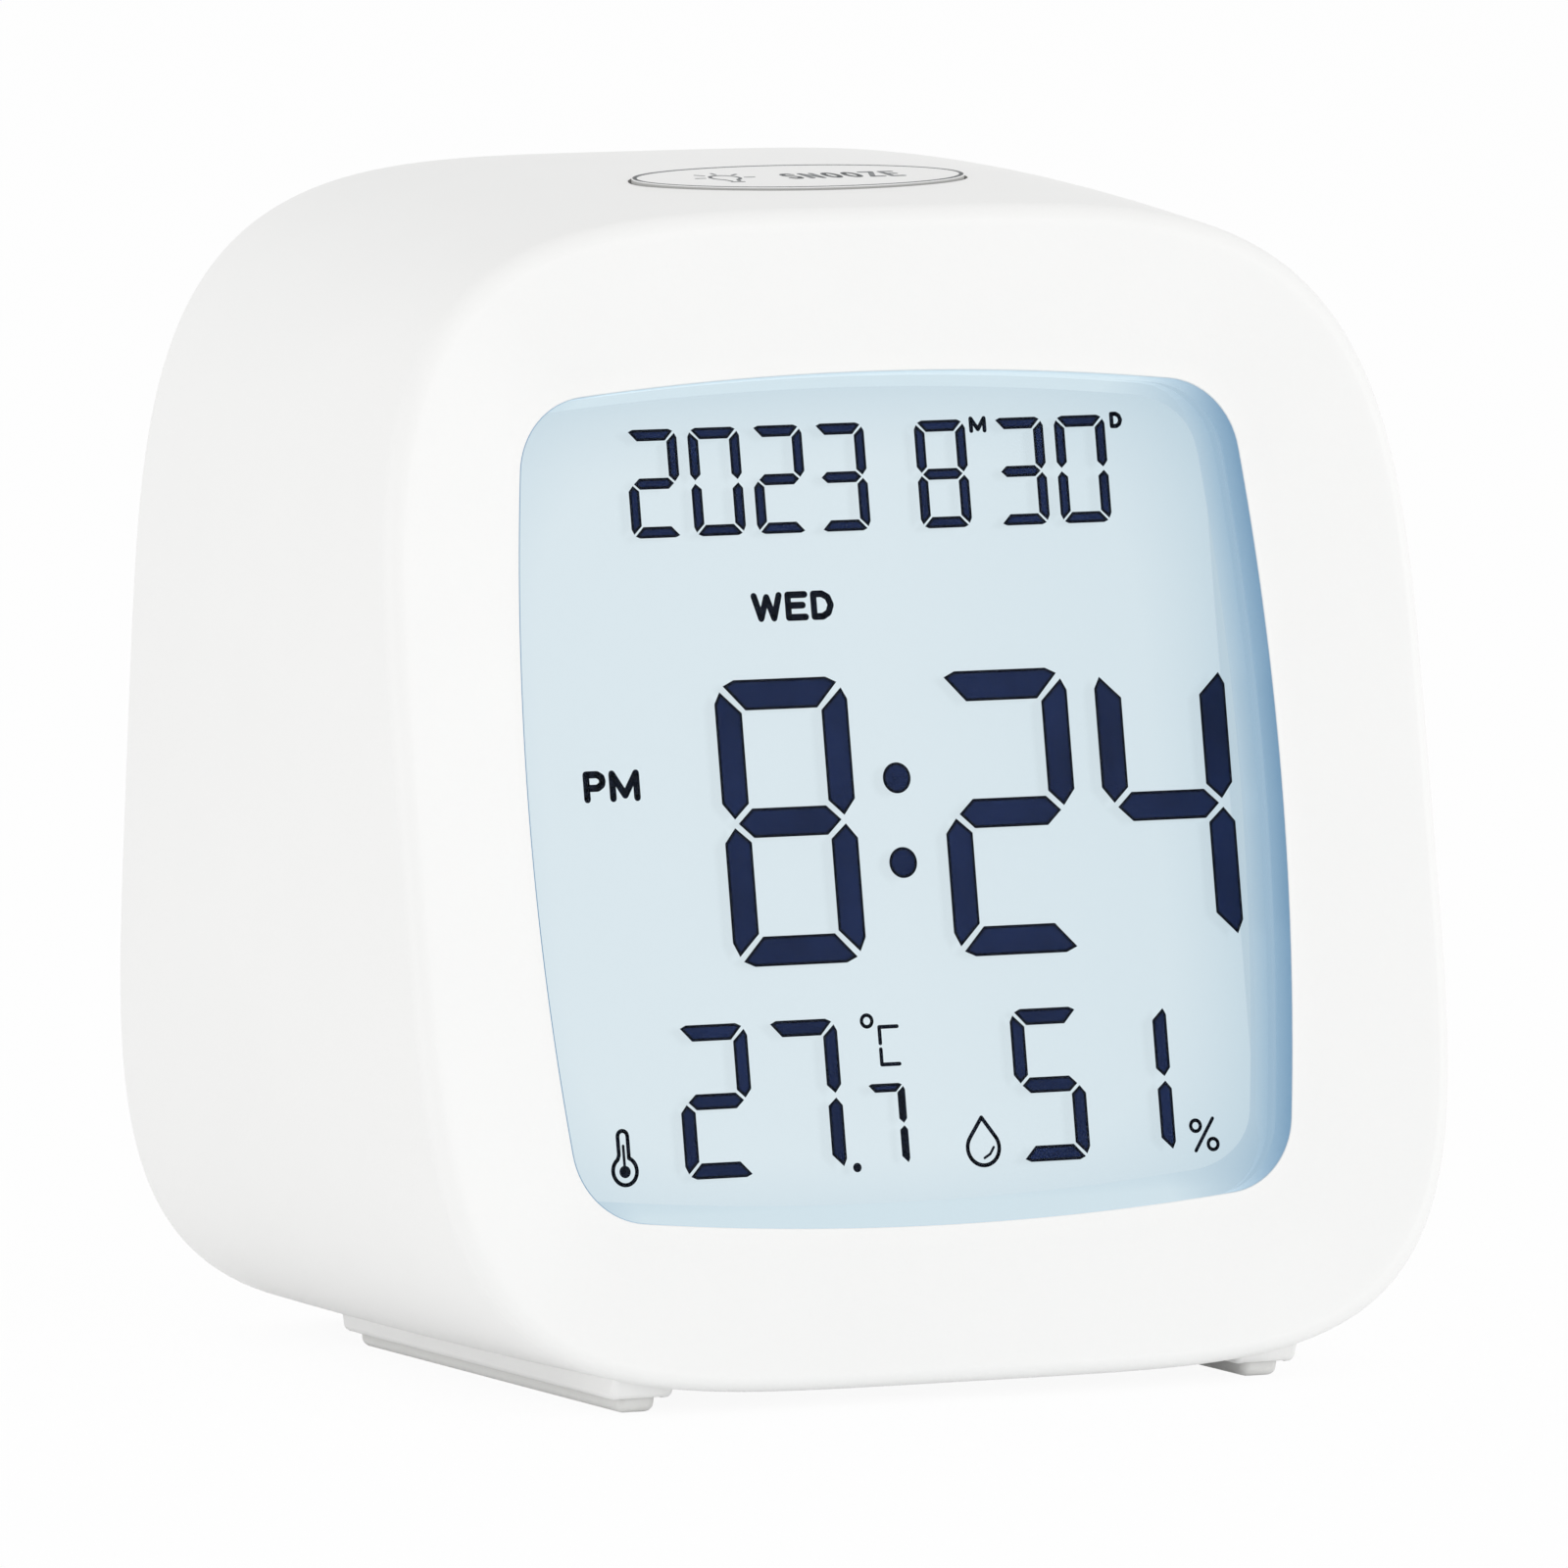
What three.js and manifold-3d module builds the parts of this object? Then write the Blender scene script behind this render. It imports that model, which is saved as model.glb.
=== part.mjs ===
// A small digital alarm clock: a pillow-shaped moulded housing that leans back on two rails, a lit
// LCD behind a flush window, an oval key on top, and setting keys and a battery bay at the back.
// Millimetres, +Z up, the display faces -Y. The part stands on z = 0, centred on the origin.
import * as THREE from 'three';
import { mergeVertices } from 'three/addons/utils/BufferGeometryUtils.js';
import Module from 'manifold-3d';

const wasm = await Module();
wasm.setup();

// Housing
const frontWidth = 78.8;
const frontHeight = 79.9;        // along the leaning face
const frontLean = 10.8;          // degrees, the top leans back
const rearWidth = 76.2;
const rearHeight = 81;           // along the rear plane
const rearLean = 4.3;            // degrees, the top leans forward
const bodyDepth = 46;            // between the centres of the front and rear planes
const rearRise = 0.4;            // rear centre above the front centre
const bulge = 0.8;               // sides stand out this much halfway along the depth
const frontPowers = [4.05, 4.6]; // exponents of the pillow outline, upper and lower half
const rearPowers = [4.35, 4.35];
const wall = 2;
const rimRadius = 1.2;           // edge between front and sides
const rearRadius = 0.9;          // edge between sides and rear rim
const dish = 2.5;                // the face falls this much from its rim to the window
const groundClearance = 0.37;    // lowest line of the housing above the table

// Window and lens
const faceBorder = [10.6, 10.8]; // of the face beside the window, and above and below it
const windowWidth = frontWidth - 2 * faceBorder[0];
const windowHeight = frontHeight - 2 * faceBorder[1];
const windowSideArc = 201;       // radius of the bulged left and right sides
const windowTopArc = 224;        // radius of the bulged top and bottom sides
const windowCorner = 5.5;
const windowSplay = 0.6;         // the dished face starts this far outside the window
const lensGap = 0.12;            // around the lens, in the plane of the face
const lensFlange = 2.4;          // width of the flange behind the wall
const lensFlangeThickness = 1;

// Fits
const seatGap = 0.3;             // between faces that rest on each other
const slideGap = 0.25;           // around a key in its hole
const holeGap = 0.1;             // around a screw in its hole

// Display, all across the leaning face
const displayDepth = dish + 6.2; // front of the LCD behind the rim plane
const lcdOverlap = [1.1, 1.4];   // LCD past the window, at the sides and above and below
const lcdWidth = windowWidth + 2 * lcdOverlap[0];
const lcdHeight = windowHeight + 2 * lcdOverlap[1];
const glassThickness = 0.8;      // each of the two glasses
const contactLedge = 2.6;        // front glass past the rear glass, at the bottom
const polariserThickness = 0.25;
const polariserBorder = 0.8;     // glass left bare round a polariser
const frameWall = 1.4;           // display frame round the LCD
const lightGuideThickness = 2.6;
const lightGuideBorder = 2.4;    // light guide inside the LCD's outline, left and right
const reflectorThickness = 0.25;
const layerGap = 0.05;           // between layers that lie on each other
const pocketGap = 0.2;           // between the LCD and the walls of its frame
const stripThickness = 1.8;      // contact strip
const stripInset = 4;            // shorter than the LCD at each end
const ledCount = 3;
const ledSize = [1.2, 3.2, 1.6];
const ledBoardThickness = 0.8;

// Boards
const boardThickness = 1.6;
const boardInset = 4.2;          // main board inside the housing's outline, left and right
const mainBoardWidth = frontWidth - 2 * boardInset;
const mainBoardTop = 26;         // above the face's centre
const mainBoardCorner = 10;
const mountHeight = 13;          // the four posts stand this far above and below the centre
const postRadius = 2.2;
const earThickness = 2;
const screwRadius = 0.9;
const screwHeadRadius = 1.5;
const screwHeadHeight = 1.1;
const screwLength = 6;
const chipSize = [13, 13, 1.8];
const chipHeight = 4;            // above the face's centre
const crystalRadius = 1;
const crystalLength = 6;
const crystalPlace = [12, 6];
const capacitorRadius = 2.5;
const capacitorLength = 6;
const capacitorPlace = [-16, 10];

// Top key
const keyWidth = 25;
const keyDepth = 10.4;
const keyFromFront = 19.5;       // centre behind the front centre
const keyTravel = 0.8;
const keyFlange = 1.8;
const keyFlangeThickness = 1;
const keyStemRadius = 1.8;
const keyStemLength = 1.2;
const keyEdge = 0.3;             // softened edge of every key cap
const switchSetback = 3.6;       // switch and its board behind the middle of the key
const switchSize = [6, 6, 3.4];
const switchStemRadius = 1.7;
const switchStemHeight = 0.8;
const pressGap = 0.15;           // left between key and switch when fully pressed
const topBoardDepth = 8.4;
const topBoardThickness = 1.2;
const topPostRadius = 1.6;
const topScrewLength = 3.8;

// Back cover and its keys
const coverThickness = 2;
const coverInset = 0.8;          // cover face inside the rear rim
const coverLip = 1;              // rim wall left round the cover
const coverGap = 0.2;
const lowerScrewInset = [7.2, 14.5];  // inside the rear outline, left and right
const upperScrewInset = [9.8, 11.1];
const coverScrewRadius = 1.1;
const coverScrewHeadRadius = 2;
const coverScrewHeadHeight = 0.9;
const coverScrewLength = 9;
const bossRadius = 3;
const bossLength = 15;
const bossWeb = 1.6;             // web from the boss into the wall
const bossDrop = 0.1;            // boss below the ledge that the cover rests on
const rearKeyCount = 4;
const rearKeyInset = 16.5;       // outer keys' centres inside the rear outline
const rearKeySize = [9, 5.4];
const rearKeyHeight = 19;        // row of keys above the rear centre
const rearKeyProud = 1;
const rearKeyStem = 1;
const rearKeyTravel = 0.6;
const rearKeyFlange = 1.1;
const rearKeyFlangeThickness = 0.9;
const keyBoardHeight = 12.6;
const keyBoardThickness = 1.2;
const keyPostRadius = 2;
const keyScrewLength = 4;
const boardEdge = 0.6;           // of a small board past its screw posts
const buzzerCentre = [-17.5, 2.6];
const buzzerRadius = 6.2;
const buzzerHeight = 4.5;
const buzzerWall = 0.9;          // ring that holds the buzzer
const buzzerRing = 2.8;
const soundHoleRadius = 0.8;
const soundHoleRing = 3.1;
const sensorCentre = [17.5, 2.6];
const sensorSlots = 5;
const sensorSlotSize = [1.2, 7];
const sensorSlotPitch = 2.4;
const sensorSize = [13, 3.4, 10];
const sensorBoard = 1;

// Battery bay
const cellRadius = 5.25;
const cellLength = 43.3;
const cellCapRadius = 1.9;
const cellCapHeight = 1.1;
const cellGap = 0.4;             // between a cell and what is round it
const bayCentreHeight = -20.6;   // below the rear centre
const saddlePlace = 13;          // cell saddles left and right of the middle
const saddleThickness = 1.6;
const saddleHeight = 3.7;
const saddleGap = 0.3;           // between a saddle and its cell
const bayWall = 1.9;
const bayFloorThickness = 1.3;
const doorLedge = 0.9;           // bay wall left under the door's edge
const springLength = 3.6;
const springTurns = 3;
const springWire = 0.35;         // radius
const springRadii = [3.6, 2.4];  // at the contact and at the cell
const contactThickness = 0.5;
const doorThickness = 1.6;
const doorCorner = 1.2;
const doorEdge = 0.25;
const doorGap = 0.35;
const doorTabSize = [8, 0.9, 2.6]; // across, thick, reaching below the door
const tabRoot = 1.2;             // neck between a hook and the door
const doorTabSpan = 34;
const doorTabRoom = 1.1;         // round the hooks, for the swing of the door
const latchWidth = 12;
const latchSlot = 0.8;
const latchHeight = 7;
const gripInset = 1.8;
const gripPitch = 1.5;
const gripWidth = 0.6;
const gripHeight = 0.4;

// Foot strips
const footSpan = 47.6;           // between the two strips
const footWidth = 2.8;
const footDrop = 1;              // strip below its moulded rib
const footSink = 1.4;            // strip inside its rib
const footFront = 1.3;           // behind the lowest front edge
const footRear = 12.5;           // before the rear rim
const footEndSlope = 0.35;       // run of the sloped ends for each millimetre of height
const footRibWall = 0.7;
const footRibHeight = 3;

const segments = { side: 12, corner: 7, oval: 28, round: 16, small: 10 };

const radians = THREE.MathUtils.degToRad;
const lean = radians(frontLean);
const tilt = radians(rearLean);
const frontCentre = new THREE.Vector3(0, 0, 0);
const rearCentre = new THREE.Vector3(0, bodyDepth, rearRise);

// Solids

function solid(geometry) {
  const plain = geometry.clone();
  for (const name of Object.keys(plain.attributes)) {
    if (name !== 'position') {
      plain.deleteAttribute(name);
    }
  }
  const merged = mergeVertices(plain, 1e-4);
  return new wasm.Manifold(new wasm.Mesh({
    numProp: 3,
    vertProperties: new Float32Array(merged.attributes.position.array),
    triVerts: new Uint32Array(merged.index.array),
  }));
}

function geometryOf(manifold) {
  const mesh = manifold.getMesh();
  const geometry = new THREE.BufferGeometry();
  geometry.setAttribute('position', new THREE.BufferAttribute(mesh.vertProperties, 3));
  geometry.setIndex(new THREE.BufferAttribute(mesh.triVerts, 1));
  return geometry;
}

function cut(body, ...tools) {
  return geometryOf(tools.reduce((left, tool) => left.subtract(solid(tool)), solid(body)));
}

function join(...bodies) {
  return geometryOf(bodies.slice(1).reduce((sum, body) => sum.add(solid(body)), solid(bodies[0])));
}

function common(first, second) {
  return geometryOf(solid(first).intersect(solid(second)));
}

function box(width, depth, height, x = 0, y = 0, z = 0) {
  return new THREE.BoxGeometry(width, depth, height).translate(x, y, z);
}

// Round bar along Y from y to y + length
function barY(radius, length, x, y, z, sides = segments.round) {
  const bar = new THREE.CylinderGeometry(radius, radius, length, sides);
  return bar.translate(x, y + length / 2, z);
}

// Round bar along Z, standing on z
function barZ(radius, length, x, y, z, sides = segments.round) {
  const bar = new THREE.CylinderGeometry(radius, radius, length, sides);
  return bar.rotateX(Math.PI / 2).translate(x, y, z + length / 2);
}

// Round bar along X from x to x + length
function barX(radius, length, x, y, z, sides = segments.round) {
  const bar = new THREE.CylinderGeometry(radius, radius, length, sides);
  return bar.rotateZ(Math.PI / 2).translate(x + length / 2, y, z);
}

// Flat plate of an outline in X and Z, from y to y + thickness
function plate(points, y, thickness) {
  const shape = new THREE.Shape(points);
  const geometry = new THREE.ExtrudeGeometry(shape, { depth: thickness, bevelEnabled: false });
  return geometry.rotateX(Math.PI / 2).translate(0, y + thickness, 0);
}

// The same along Z from z to z + thickness, with softened edges that stay inside the outline
function plateZ(points, z, thickness, edge = 0) {
  const geometry = new THREE.ExtrudeGeometry(new THREE.Shape(points), {
    depth: thickness - 2 * edge,
    bevelEnabled: edge > 0,
    bevelThickness: edge,
    bevelSize: edge,
    bevelOffset: -edge,
    bevelSegments: 2,
  });
  return geometry.translate(0, 0, z + edge);
}

function softPlate(points, y, thickness, edge) {
  return plateZ(points, 0, thickness, edge).rotateX(Math.PI / 2).translate(0, y + thickness, 0);
}

function roundedRectangle(width, height, radius, x = 0, z = 0) {
  const shape = new THREE.Shape();
  const [w, h] = [width / 2 - radius, height / 2 - radius];
  shape.absarc(x + w, z + h, radius, 0, Math.PI / 2, false);
  shape.absarc(x - w, z + h, radius, Math.PI / 2, Math.PI, false);
  shape.absarc(x - w, z - h, radius, Math.PI, Math.PI * 1.5, false);
  shape.absarc(x + w, z - h, radius, Math.PI * 1.5, Math.PI * 2, false);
  return shape.getPoints(3).slice(0, -1);
}

function ellipse(width, height, count = segments.oval) {
  return Array.from({ length: count }, (_, i) => {
    const angle = (i / count) * Math.PI * 2;
    return new THREE.Vector2((width / 2) * Math.cos(angle), (height / 2) * Math.sin(angle));
  });
}

// The window's outline: four wide arcs joined by round corners, grown by a margin
function windowOutline(margin) {
  const [a, b] = [windowWidth / 2, windowHeight / 2];
  const side = { x: a - windowSideArc, r: windowSideArc + margin };
  const top = { z: b - windowTopArc, r: windowTopArc + margin };
  const [r1, r2] = [windowSideArc - windowCorner, windowTopArc - windowCorner];
  const apart = Math.hypot(side.x, top.z);
  const along = (r1 * r1 - r2 * r2 + apart * apart) / (2 * apart);
  const across = Math.sqrt(r1 * r1 - along * along);
  const [ux, uz] = [-side.x / apart, top.z / apart];
  const corner = new THREE.Vector2(side.x + along * ux - across * uz, along * uz + across * ux);
  const sideEnd = Math.atan2(corner.y, corner.x - side.x);
  const topStart = Math.atan2(corner.y - top.z, corner.x);
  const quarter = [];
  const steps = segments.side / 2;
  for (let i = 0; i < steps; i += 1) {
    const angle = (sideEnd * i) / steps;
    quarter.push([side.x + side.r * Math.cos(angle), side.r * Math.sin(angle)]);
  }
  const cornerRadius = windowCorner + margin;
  for (let i = 0; i < segments.corner; i += 1) {
    const angle = sideEnd + ((topStart - sideEnd) * i) / segments.corner;
    quarter.push([corner.x + cornerRadius * Math.cos(angle), corner.y + cornerRadius * Math.sin(angle)]);
  }
  for (let i = 0; i < steps; i += 1) {
    const angle = topStart + ((Math.PI / 2 - topStart) * i) / steps;
    quarter.push([top.r * Math.cos(angle), top.z + top.r * Math.sin(angle)]);
  }
  const points = [];
  for (let turn = 0; turn < 4; turn += 1) {
    const mirrored = turn % 2 === 1;
    const source = mirrored ? [...quarter.slice(1), [0, b + margin]].reverse() : quarter;
    const [sx, sz] = [[1, 1], [-1, 1], [-1, -1], [1, -1]][turn];
    for (const [x, z] of source) {
      points.push(new THREE.Vector2(sx * x, sz * z));
    }
  }
  return points;
}

// Directions in which every ring of the housing is sampled, close together at the corners
const directions = windowOutline(0).map((point) => Math.atan2(point.y, point.x));

function pillowReach(width, height, powers, angle) {
  const power = Math.sin(angle) > 0 ? powers[0] : powers[1];
  const across = Math.abs(Math.cos(angle) / (width / 2)) ** power;
  const up = Math.abs(Math.sin(angle) / (height / 2)) ** power;
  return (across + up) ** (-1 / power);
}

function pillow(width, height, powers) {
  return directions.map((angle) => {
    const reach = pillowReach(width, height, powers, angle);
    return new THREE.Vector2(reach * Math.cos(angle), reach * Math.sin(angle));
  });
}

// Outlines of the front and the rear, drawn in by an inset
const frontOutline = (inset) => pillow(frontWidth - 2 * inset, frontHeight - 2 * inset, frontPowers);
const rearOutline = (inset) => pillow(rearWidth - 2 * inset, rearHeight - 2 * inset, rearPowers);

// Points of an outline placed on the leaning front plane, sunk by a depth
function onFront(points, depth) {
  return points.map((point) => new THREE.Vector3(
    point.x,
    point.y * Math.sin(lean) + depth * Math.cos(lean),
    point.y * Math.cos(lean) - depth * Math.sin(lean),
  ).add(frontCentre));
}

// The same at a depth along the level axis of the sides, so that the walls stay parallel
function onFrontLevel(points, depth) {
  const rise = depth * Math.tan(lean);
  return onFront(points.map((point) => new THREE.Vector2(point.x, point.y + rise)), depth);
}

// How far the pillow outline falls at a distance from its middle
function pillowDrop(x) {
  const share = (x / (frontWidth / 2)) ** frontPowers[0];
  return (frontHeight / 2) * (1 - (1 - share) ** (1 / frontPowers[0]));
}

// A point between the front and the rear, pushed outwards halfway except underneath
function sidePoint(front, back, share) {
  const point = front.clone().lerp(back, share);
  const middle = rearRise * share;
  const radius = Math.hypot(point.x, point.z - middle);
  const under = Math.max(0, (middle - point.z) / radius);
  const grow = 1 + (4 * share * (1 - share) * bulge * (1 - under * under)) / radius;
  return new THREE.Vector3(point.x * grow, point.y, middle + (point.z - middle) * grow);
}

function sideRings(front, back) {
  return [0.25, 0.5, 0.75].map((share) => front.map((point, i) => sidePoint(point, back[i], share)));
}

// Points of an outline placed on the rear plane, at a distance before it
function onRear(points, before) {
  return points.map((point) => new THREE.Vector3(
    point.x,
    -point.y * Math.sin(tilt) - before * Math.cos(tilt),
    point.y * Math.cos(tilt) - before * Math.sin(tilt),
  ).add(rearCentre));
}

// Closed skin through rings of points, with a fan over the first and the last ring
function loft(rings) {
  const count = rings[0].length;
  const positions = [];
  const index = [];
  for (const ring of rings) {
    for (const point of ring) {
      positions.push(point.x, point.y, point.z);
    }
  }
  for (let ring = 0; ring + 1 < rings.length; ring += 1) {
    for (let i = 0; i < count; i += 1) {
      const next = (i + 1) % count;
      const [a, b] = [ring * count + i, ring * count + next];
      const [c, d] = [a + count, b + count];
      index.push(a, c, b, b, c, d);
    }
  }
  const fan = (ring, flip) => {
    const middle = rings[ring].reduce((sum, p) => sum.add(p), new THREE.Vector3()).divideScalar(count);
    const centre = positions.length / 3;
    positions.push(middle.x, middle.y, middle.z);
    for (let i = 0; i < count; i += 1) {
      const [a, b] = [ring * count + i, ring * count + ((i + 1) % count)];
      index.push(centre, ...(flip ? [b, a] : [a, b]));
    }
  };
  fan(0, false);
  fan(rings.length - 1, true);
  const geometry = new THREE.BufferGeometry();
  geometry.setAttribute('position', new THREE.Float32BufferAttribute(positions, 3));
  geometry.setIndex(index);
  return geometry;
}

// Groups that lean with the front face, the rear plane and the crown of the top

const clock = new THREE.Group();
const face = new THREE.Group();
face.position.copy(frontCentre);
face.rotation.x = -lean;
const rear = new THREE.Group();
rear.position.copy(rearCentre);
rear.rotation.x = tilt;

const frontTop = onFront([new THREE.Vector2(0, frontHeight / 2)], 0)[0];
const rearTop = onRear([new THREE.Vector2(0, rearHeight / 2)], 0)[0];
const crownLength = rearTop.y - frontTop.y;
const crownRise = rearTop.z - frontTop.z;
const keyShare = (keyFromFront - frontTop.y) / crownLength;
const crownHeight = frontTop.z + crownRise * keyShare + 4 * keyShare * (1 - keyShare) * bulge;
const crownSlope = Math.atan2(crownRise + 4 * (1 - 2 * keyShare) * bulge, crownLength);
const crown = new THREE.Group();
crown.position.set(0, keyFromFront, crownHeight);
crown.rotation.x = crownSlope;
clock.add(face, rear, crown);

const materials = {};
function material(name, color, roughness, metalness = 0, extra = {}) {
  materials[name] = new THREE.MeshStandardMaterial({ name, color, roughness, metalness, ...extra });
  return materials[name];
}
const whitePlastic = material('white plastic', 0xf2f2f1, 0.55);
const innerPlastic = material('inner plastic', 0xe4ebee, 0.6);
const clearPlastic = material('clear plastic', 0xd8e8ef, 0.1, 0, { transparent: true, opacity: 0.35 });
const softWhite = material('soft white', 0xe8e8e6, 0.75);
const glass = material('glass', 0xcfe0e6, 0.1);
const film = material('film', 0xb9c6bf, 0.3);
const lightPlastic = material('light plastic', 0xdcecf4, 0.3);
const foil = material('foil', 0xf4f4f4, 0.4);
const boardGreen = material('board', 0x2c6b45, 0.5);
const blackResin = material('black resin', 0x141414, 0.5);
const rubber = material('contact rubber', 0xc9b8b4, 0.8);
const steel = material('steel', 0xb9bcbf, 0.3, 1);
const nickel = material('nickel', 0xc8c8c4, 0.25, 1);
const lampWhite = material('lamp', 0xf3f1d8, 0.3);
const cellSleeve = material('cell sleeve', 0x3a5f86, 0.4);
const keyPlastic = material('key plastic', 0xe9e9e7, 0.5);

function piece(name, geometry, look, parent = clock) {
  const mesh = new THREE.Mesh(geometry, look);
  mesh.name = name;
  parent.add(mesh);
}

// One numbered piece for each geometry of a repeated kind
function pieces(name, geometries, look, parent) {
  geometries.forEach((geometry, i) => piece(`${name}_${i + 1}`, geometry, look, parent));
}

function intoWorld(geometry, group) {
  group.updateMatrix();
  return geometry.clone().applyMatrix4(group.matrix);
}

function fromWorld(geometry, group) {
  group.updateMatrix();
  return geometry.clone().applyMatrix4(group.matrix.clone().invert());
}

// Battery bay sizes, in the rear frame: x across, z up along the cover, y out of the back

const coverOut = -coverInset;
const coverIn = coverOut - coverThickness;
const doorOut = coverOut;
const doorIn = doorOut - doorThickness;
const cellPitch = 2 * cellRadius + cellGap;
const cellBack = doorIn - cellGap - cellRadius;
const bayFloor = cellBack - cellRadius - cellGap;
const bayInside = cellLength + cellCapHeight + springLength + 2 * (contactThickness + seatGap);
const bayHeight = cellPitch + 2 * cellRadius + 2 * cellGap;
const doorWidth = bayInside + 2 * (doorLedge - doorGap);
const doorHeight = bayHeight + 2 * (doorLedge - doorGap);
const doorLow = bayCentreHeight - doorHeight / 2;
const tabOut = coverIn - seatGap;
const tabXs = [-doorTabSpan / 2, doorTabSpan / 2];
const cellRows = [bayCentreHeight + cellPitch / 2, bayCentreHeight - cellPitch / 2];

const coverScrewPlaces = [[lowerScrewInset, -1], [upperScrewInset, 1]].flatMap(([inset, side]) => {
  const [x, z] = [rearWidth / 2 - inset[0], side * (rearHeight / 2 - inset[1])];
  return [[x, z], [-x, z]];
});

// Rear keys

const rearKeyPitch = (rearWidth - 2 * rearKeyInset) / (rearKeyCount - 1);
const rearKeyXs = Array.from({ length: rearKeyCount }, (_, i) => (i - (rearKeyCount - 1) / 2) * rearKeyPitch);
const keyFlangeOut = coverIn - seatGap;
const keyFlangeIn = keyFlangeOut - rearKeyFlangeThickness;
const rearKeyStemEnd = keyFlangeIn - rearKeyStem;
const rearSwitchTop = rearKeyStemEnd - rearKeyTravel - pressGap;
const keyBoardOut = rearSwitchTop - switchStemHeight - switchSize[2];
const outerKeyEnd = rearKeyXs[rearKeyCount - 1] + rearKeySize[0] / 2 + rearKeyFlange + slideGap;
const keyPostX = outerKeyEnd + slideGap + keyPostRadius;
const keyPostXs = [-keyPostX, keyPostX];
const keyBoardWidth = 2 * (keyPostX + keyPostRadius + boardEdge);

// Top key, in the crown frame: z up out of the crown

const keyReach = keyDepth / 2 + keyFlange;
const crownSag = 4 * bulge * (keyReach / crownLength) ** 2;
const keyFlangeTop = -wall - seatGap - pillowDrop(keyWidth / 2 + keyFlange) - crownSag;
const keyStemEnd = keyFlangeTop - keyFlangeThickness - keyStemLength;
const topSwitchTop = keyStemEnd - keyTravel - pressGap;
const topBoardTop = topSwitchTop - switchStemHeight - switchSize[2];
const topPostX = keyWidth / 2 + keyFlange + slideGap + topPostRadius;
const topPostXs = [-topPostX, topPostX];
const topBoardWidth = 2 * (topPostX + topPostRadius + boardEdge);

// Depths across the leaning face

const faceWallIn = dish + wall;
const lensFlangeFront = faceWallIn + seatGap;
const lensBack = lensFlangeFront + lensFlangeThickness;
const frameFront = lensBack + seatGap;
const polariserFront = displayDepth;
const frontGlass = polariserFront + polariserThickness + layerGap;
const rearGlass = frontGlass + glassThickness + layerGap;
const rearPolariser = rearGlass + glassThickness + layerGap;
const lightGuideFront = rearPolariser + polariserThickness + seatGap;
const reflectorFront = lightGuideFront + lightGuideThickness + layerGap;
const frameBack = reflectorFront + reflectorThickness + 0.2;
const boardFront = frameBack + seatGap;
const boardBack = boardFront + boardThickness;
const frameWidth = lcdWidth + 2 * (frameWall + pocketGap);
const frameHeight = lcdHeight + 2 * (frameWall + pocketGap);
const mountX = frameWidth / 2 + slideGap + postRadius;
const mounts = [[1, 1], [-1, 1], [-1, -1], [1, -1]].map(([sx, sz]) => [sx * mountX, sz * mountHeight]);

const lowest = onFront([new THREE.Vector2(0, -frontHeight / 2)], 0)[0].z;
const floor = Math.min(lowest, onRear([new THREE.Vector2(0, -rearHeight / 2)], 0)[0].z) - groundClearance;

// Foot strips: a soft strip with a round lower edge, held in a moulded rib under the housing

function footStations() {
  const front = onFront([new THREE.Vector2(0, -frontHeight / 2)], 0)[0].y + footFront;
  const back = onRear([new THREE.Vector2(0, -rearHeight / 2)], 0)[0].y - footRear;
  return { front, back };
}

// A bar along Y with sloped ends, wider at its top, from low to high
function slopedBar(width, front, back, low, high, x) {
  const slope = footEndSlope * (high - low);
  const side = new THREE.Shape([
    new THREE.Vector2(front + slope, low),
    new THREE.Vector2(back - slope, low),
    new THREE.Vector2(back, high),
    new THREE.Vector2(front, high),
  ]);
  const bar = new THREE.ExtrudeGeometry(side, { depth: width, bevelEnabled: false });
  bar.applyMatrix4(new THREE.Matrix4().makeBasis(
    new THREE.Vector3(0, 1, 0), new THREE.Vector3(0, 0, 1), new THREE.Vector3(1, 0, 0)));
  return bar.translate(x - width / 2, 0, 0);
}

function footRib(side) {
  const { front, back } = footStations();
  const width = footWidth + 2 * (footRibWall + slideGap);
  const low = floor + footDrop;
  return slopedBar(width, front, back, low, low + footRibHeight, (side * footSpan) / 2);
}

function footSeat(side) {
  const { front, back } = footStations();
  const low = floor + footDrop - 1;
  const inset = footRibWall + slideGap;
  const width = footWidth + 2 * slideGap;
  const middle = (front + back) / 2;
  const length = back - front - 2 * inset - 2 * footEndSlope * footSink + 2 * slideGap;
  return box(width, length, footSink + 1, (side * footSpan) / 2, middle, low + (footSink + 1) / 2);
}

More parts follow.
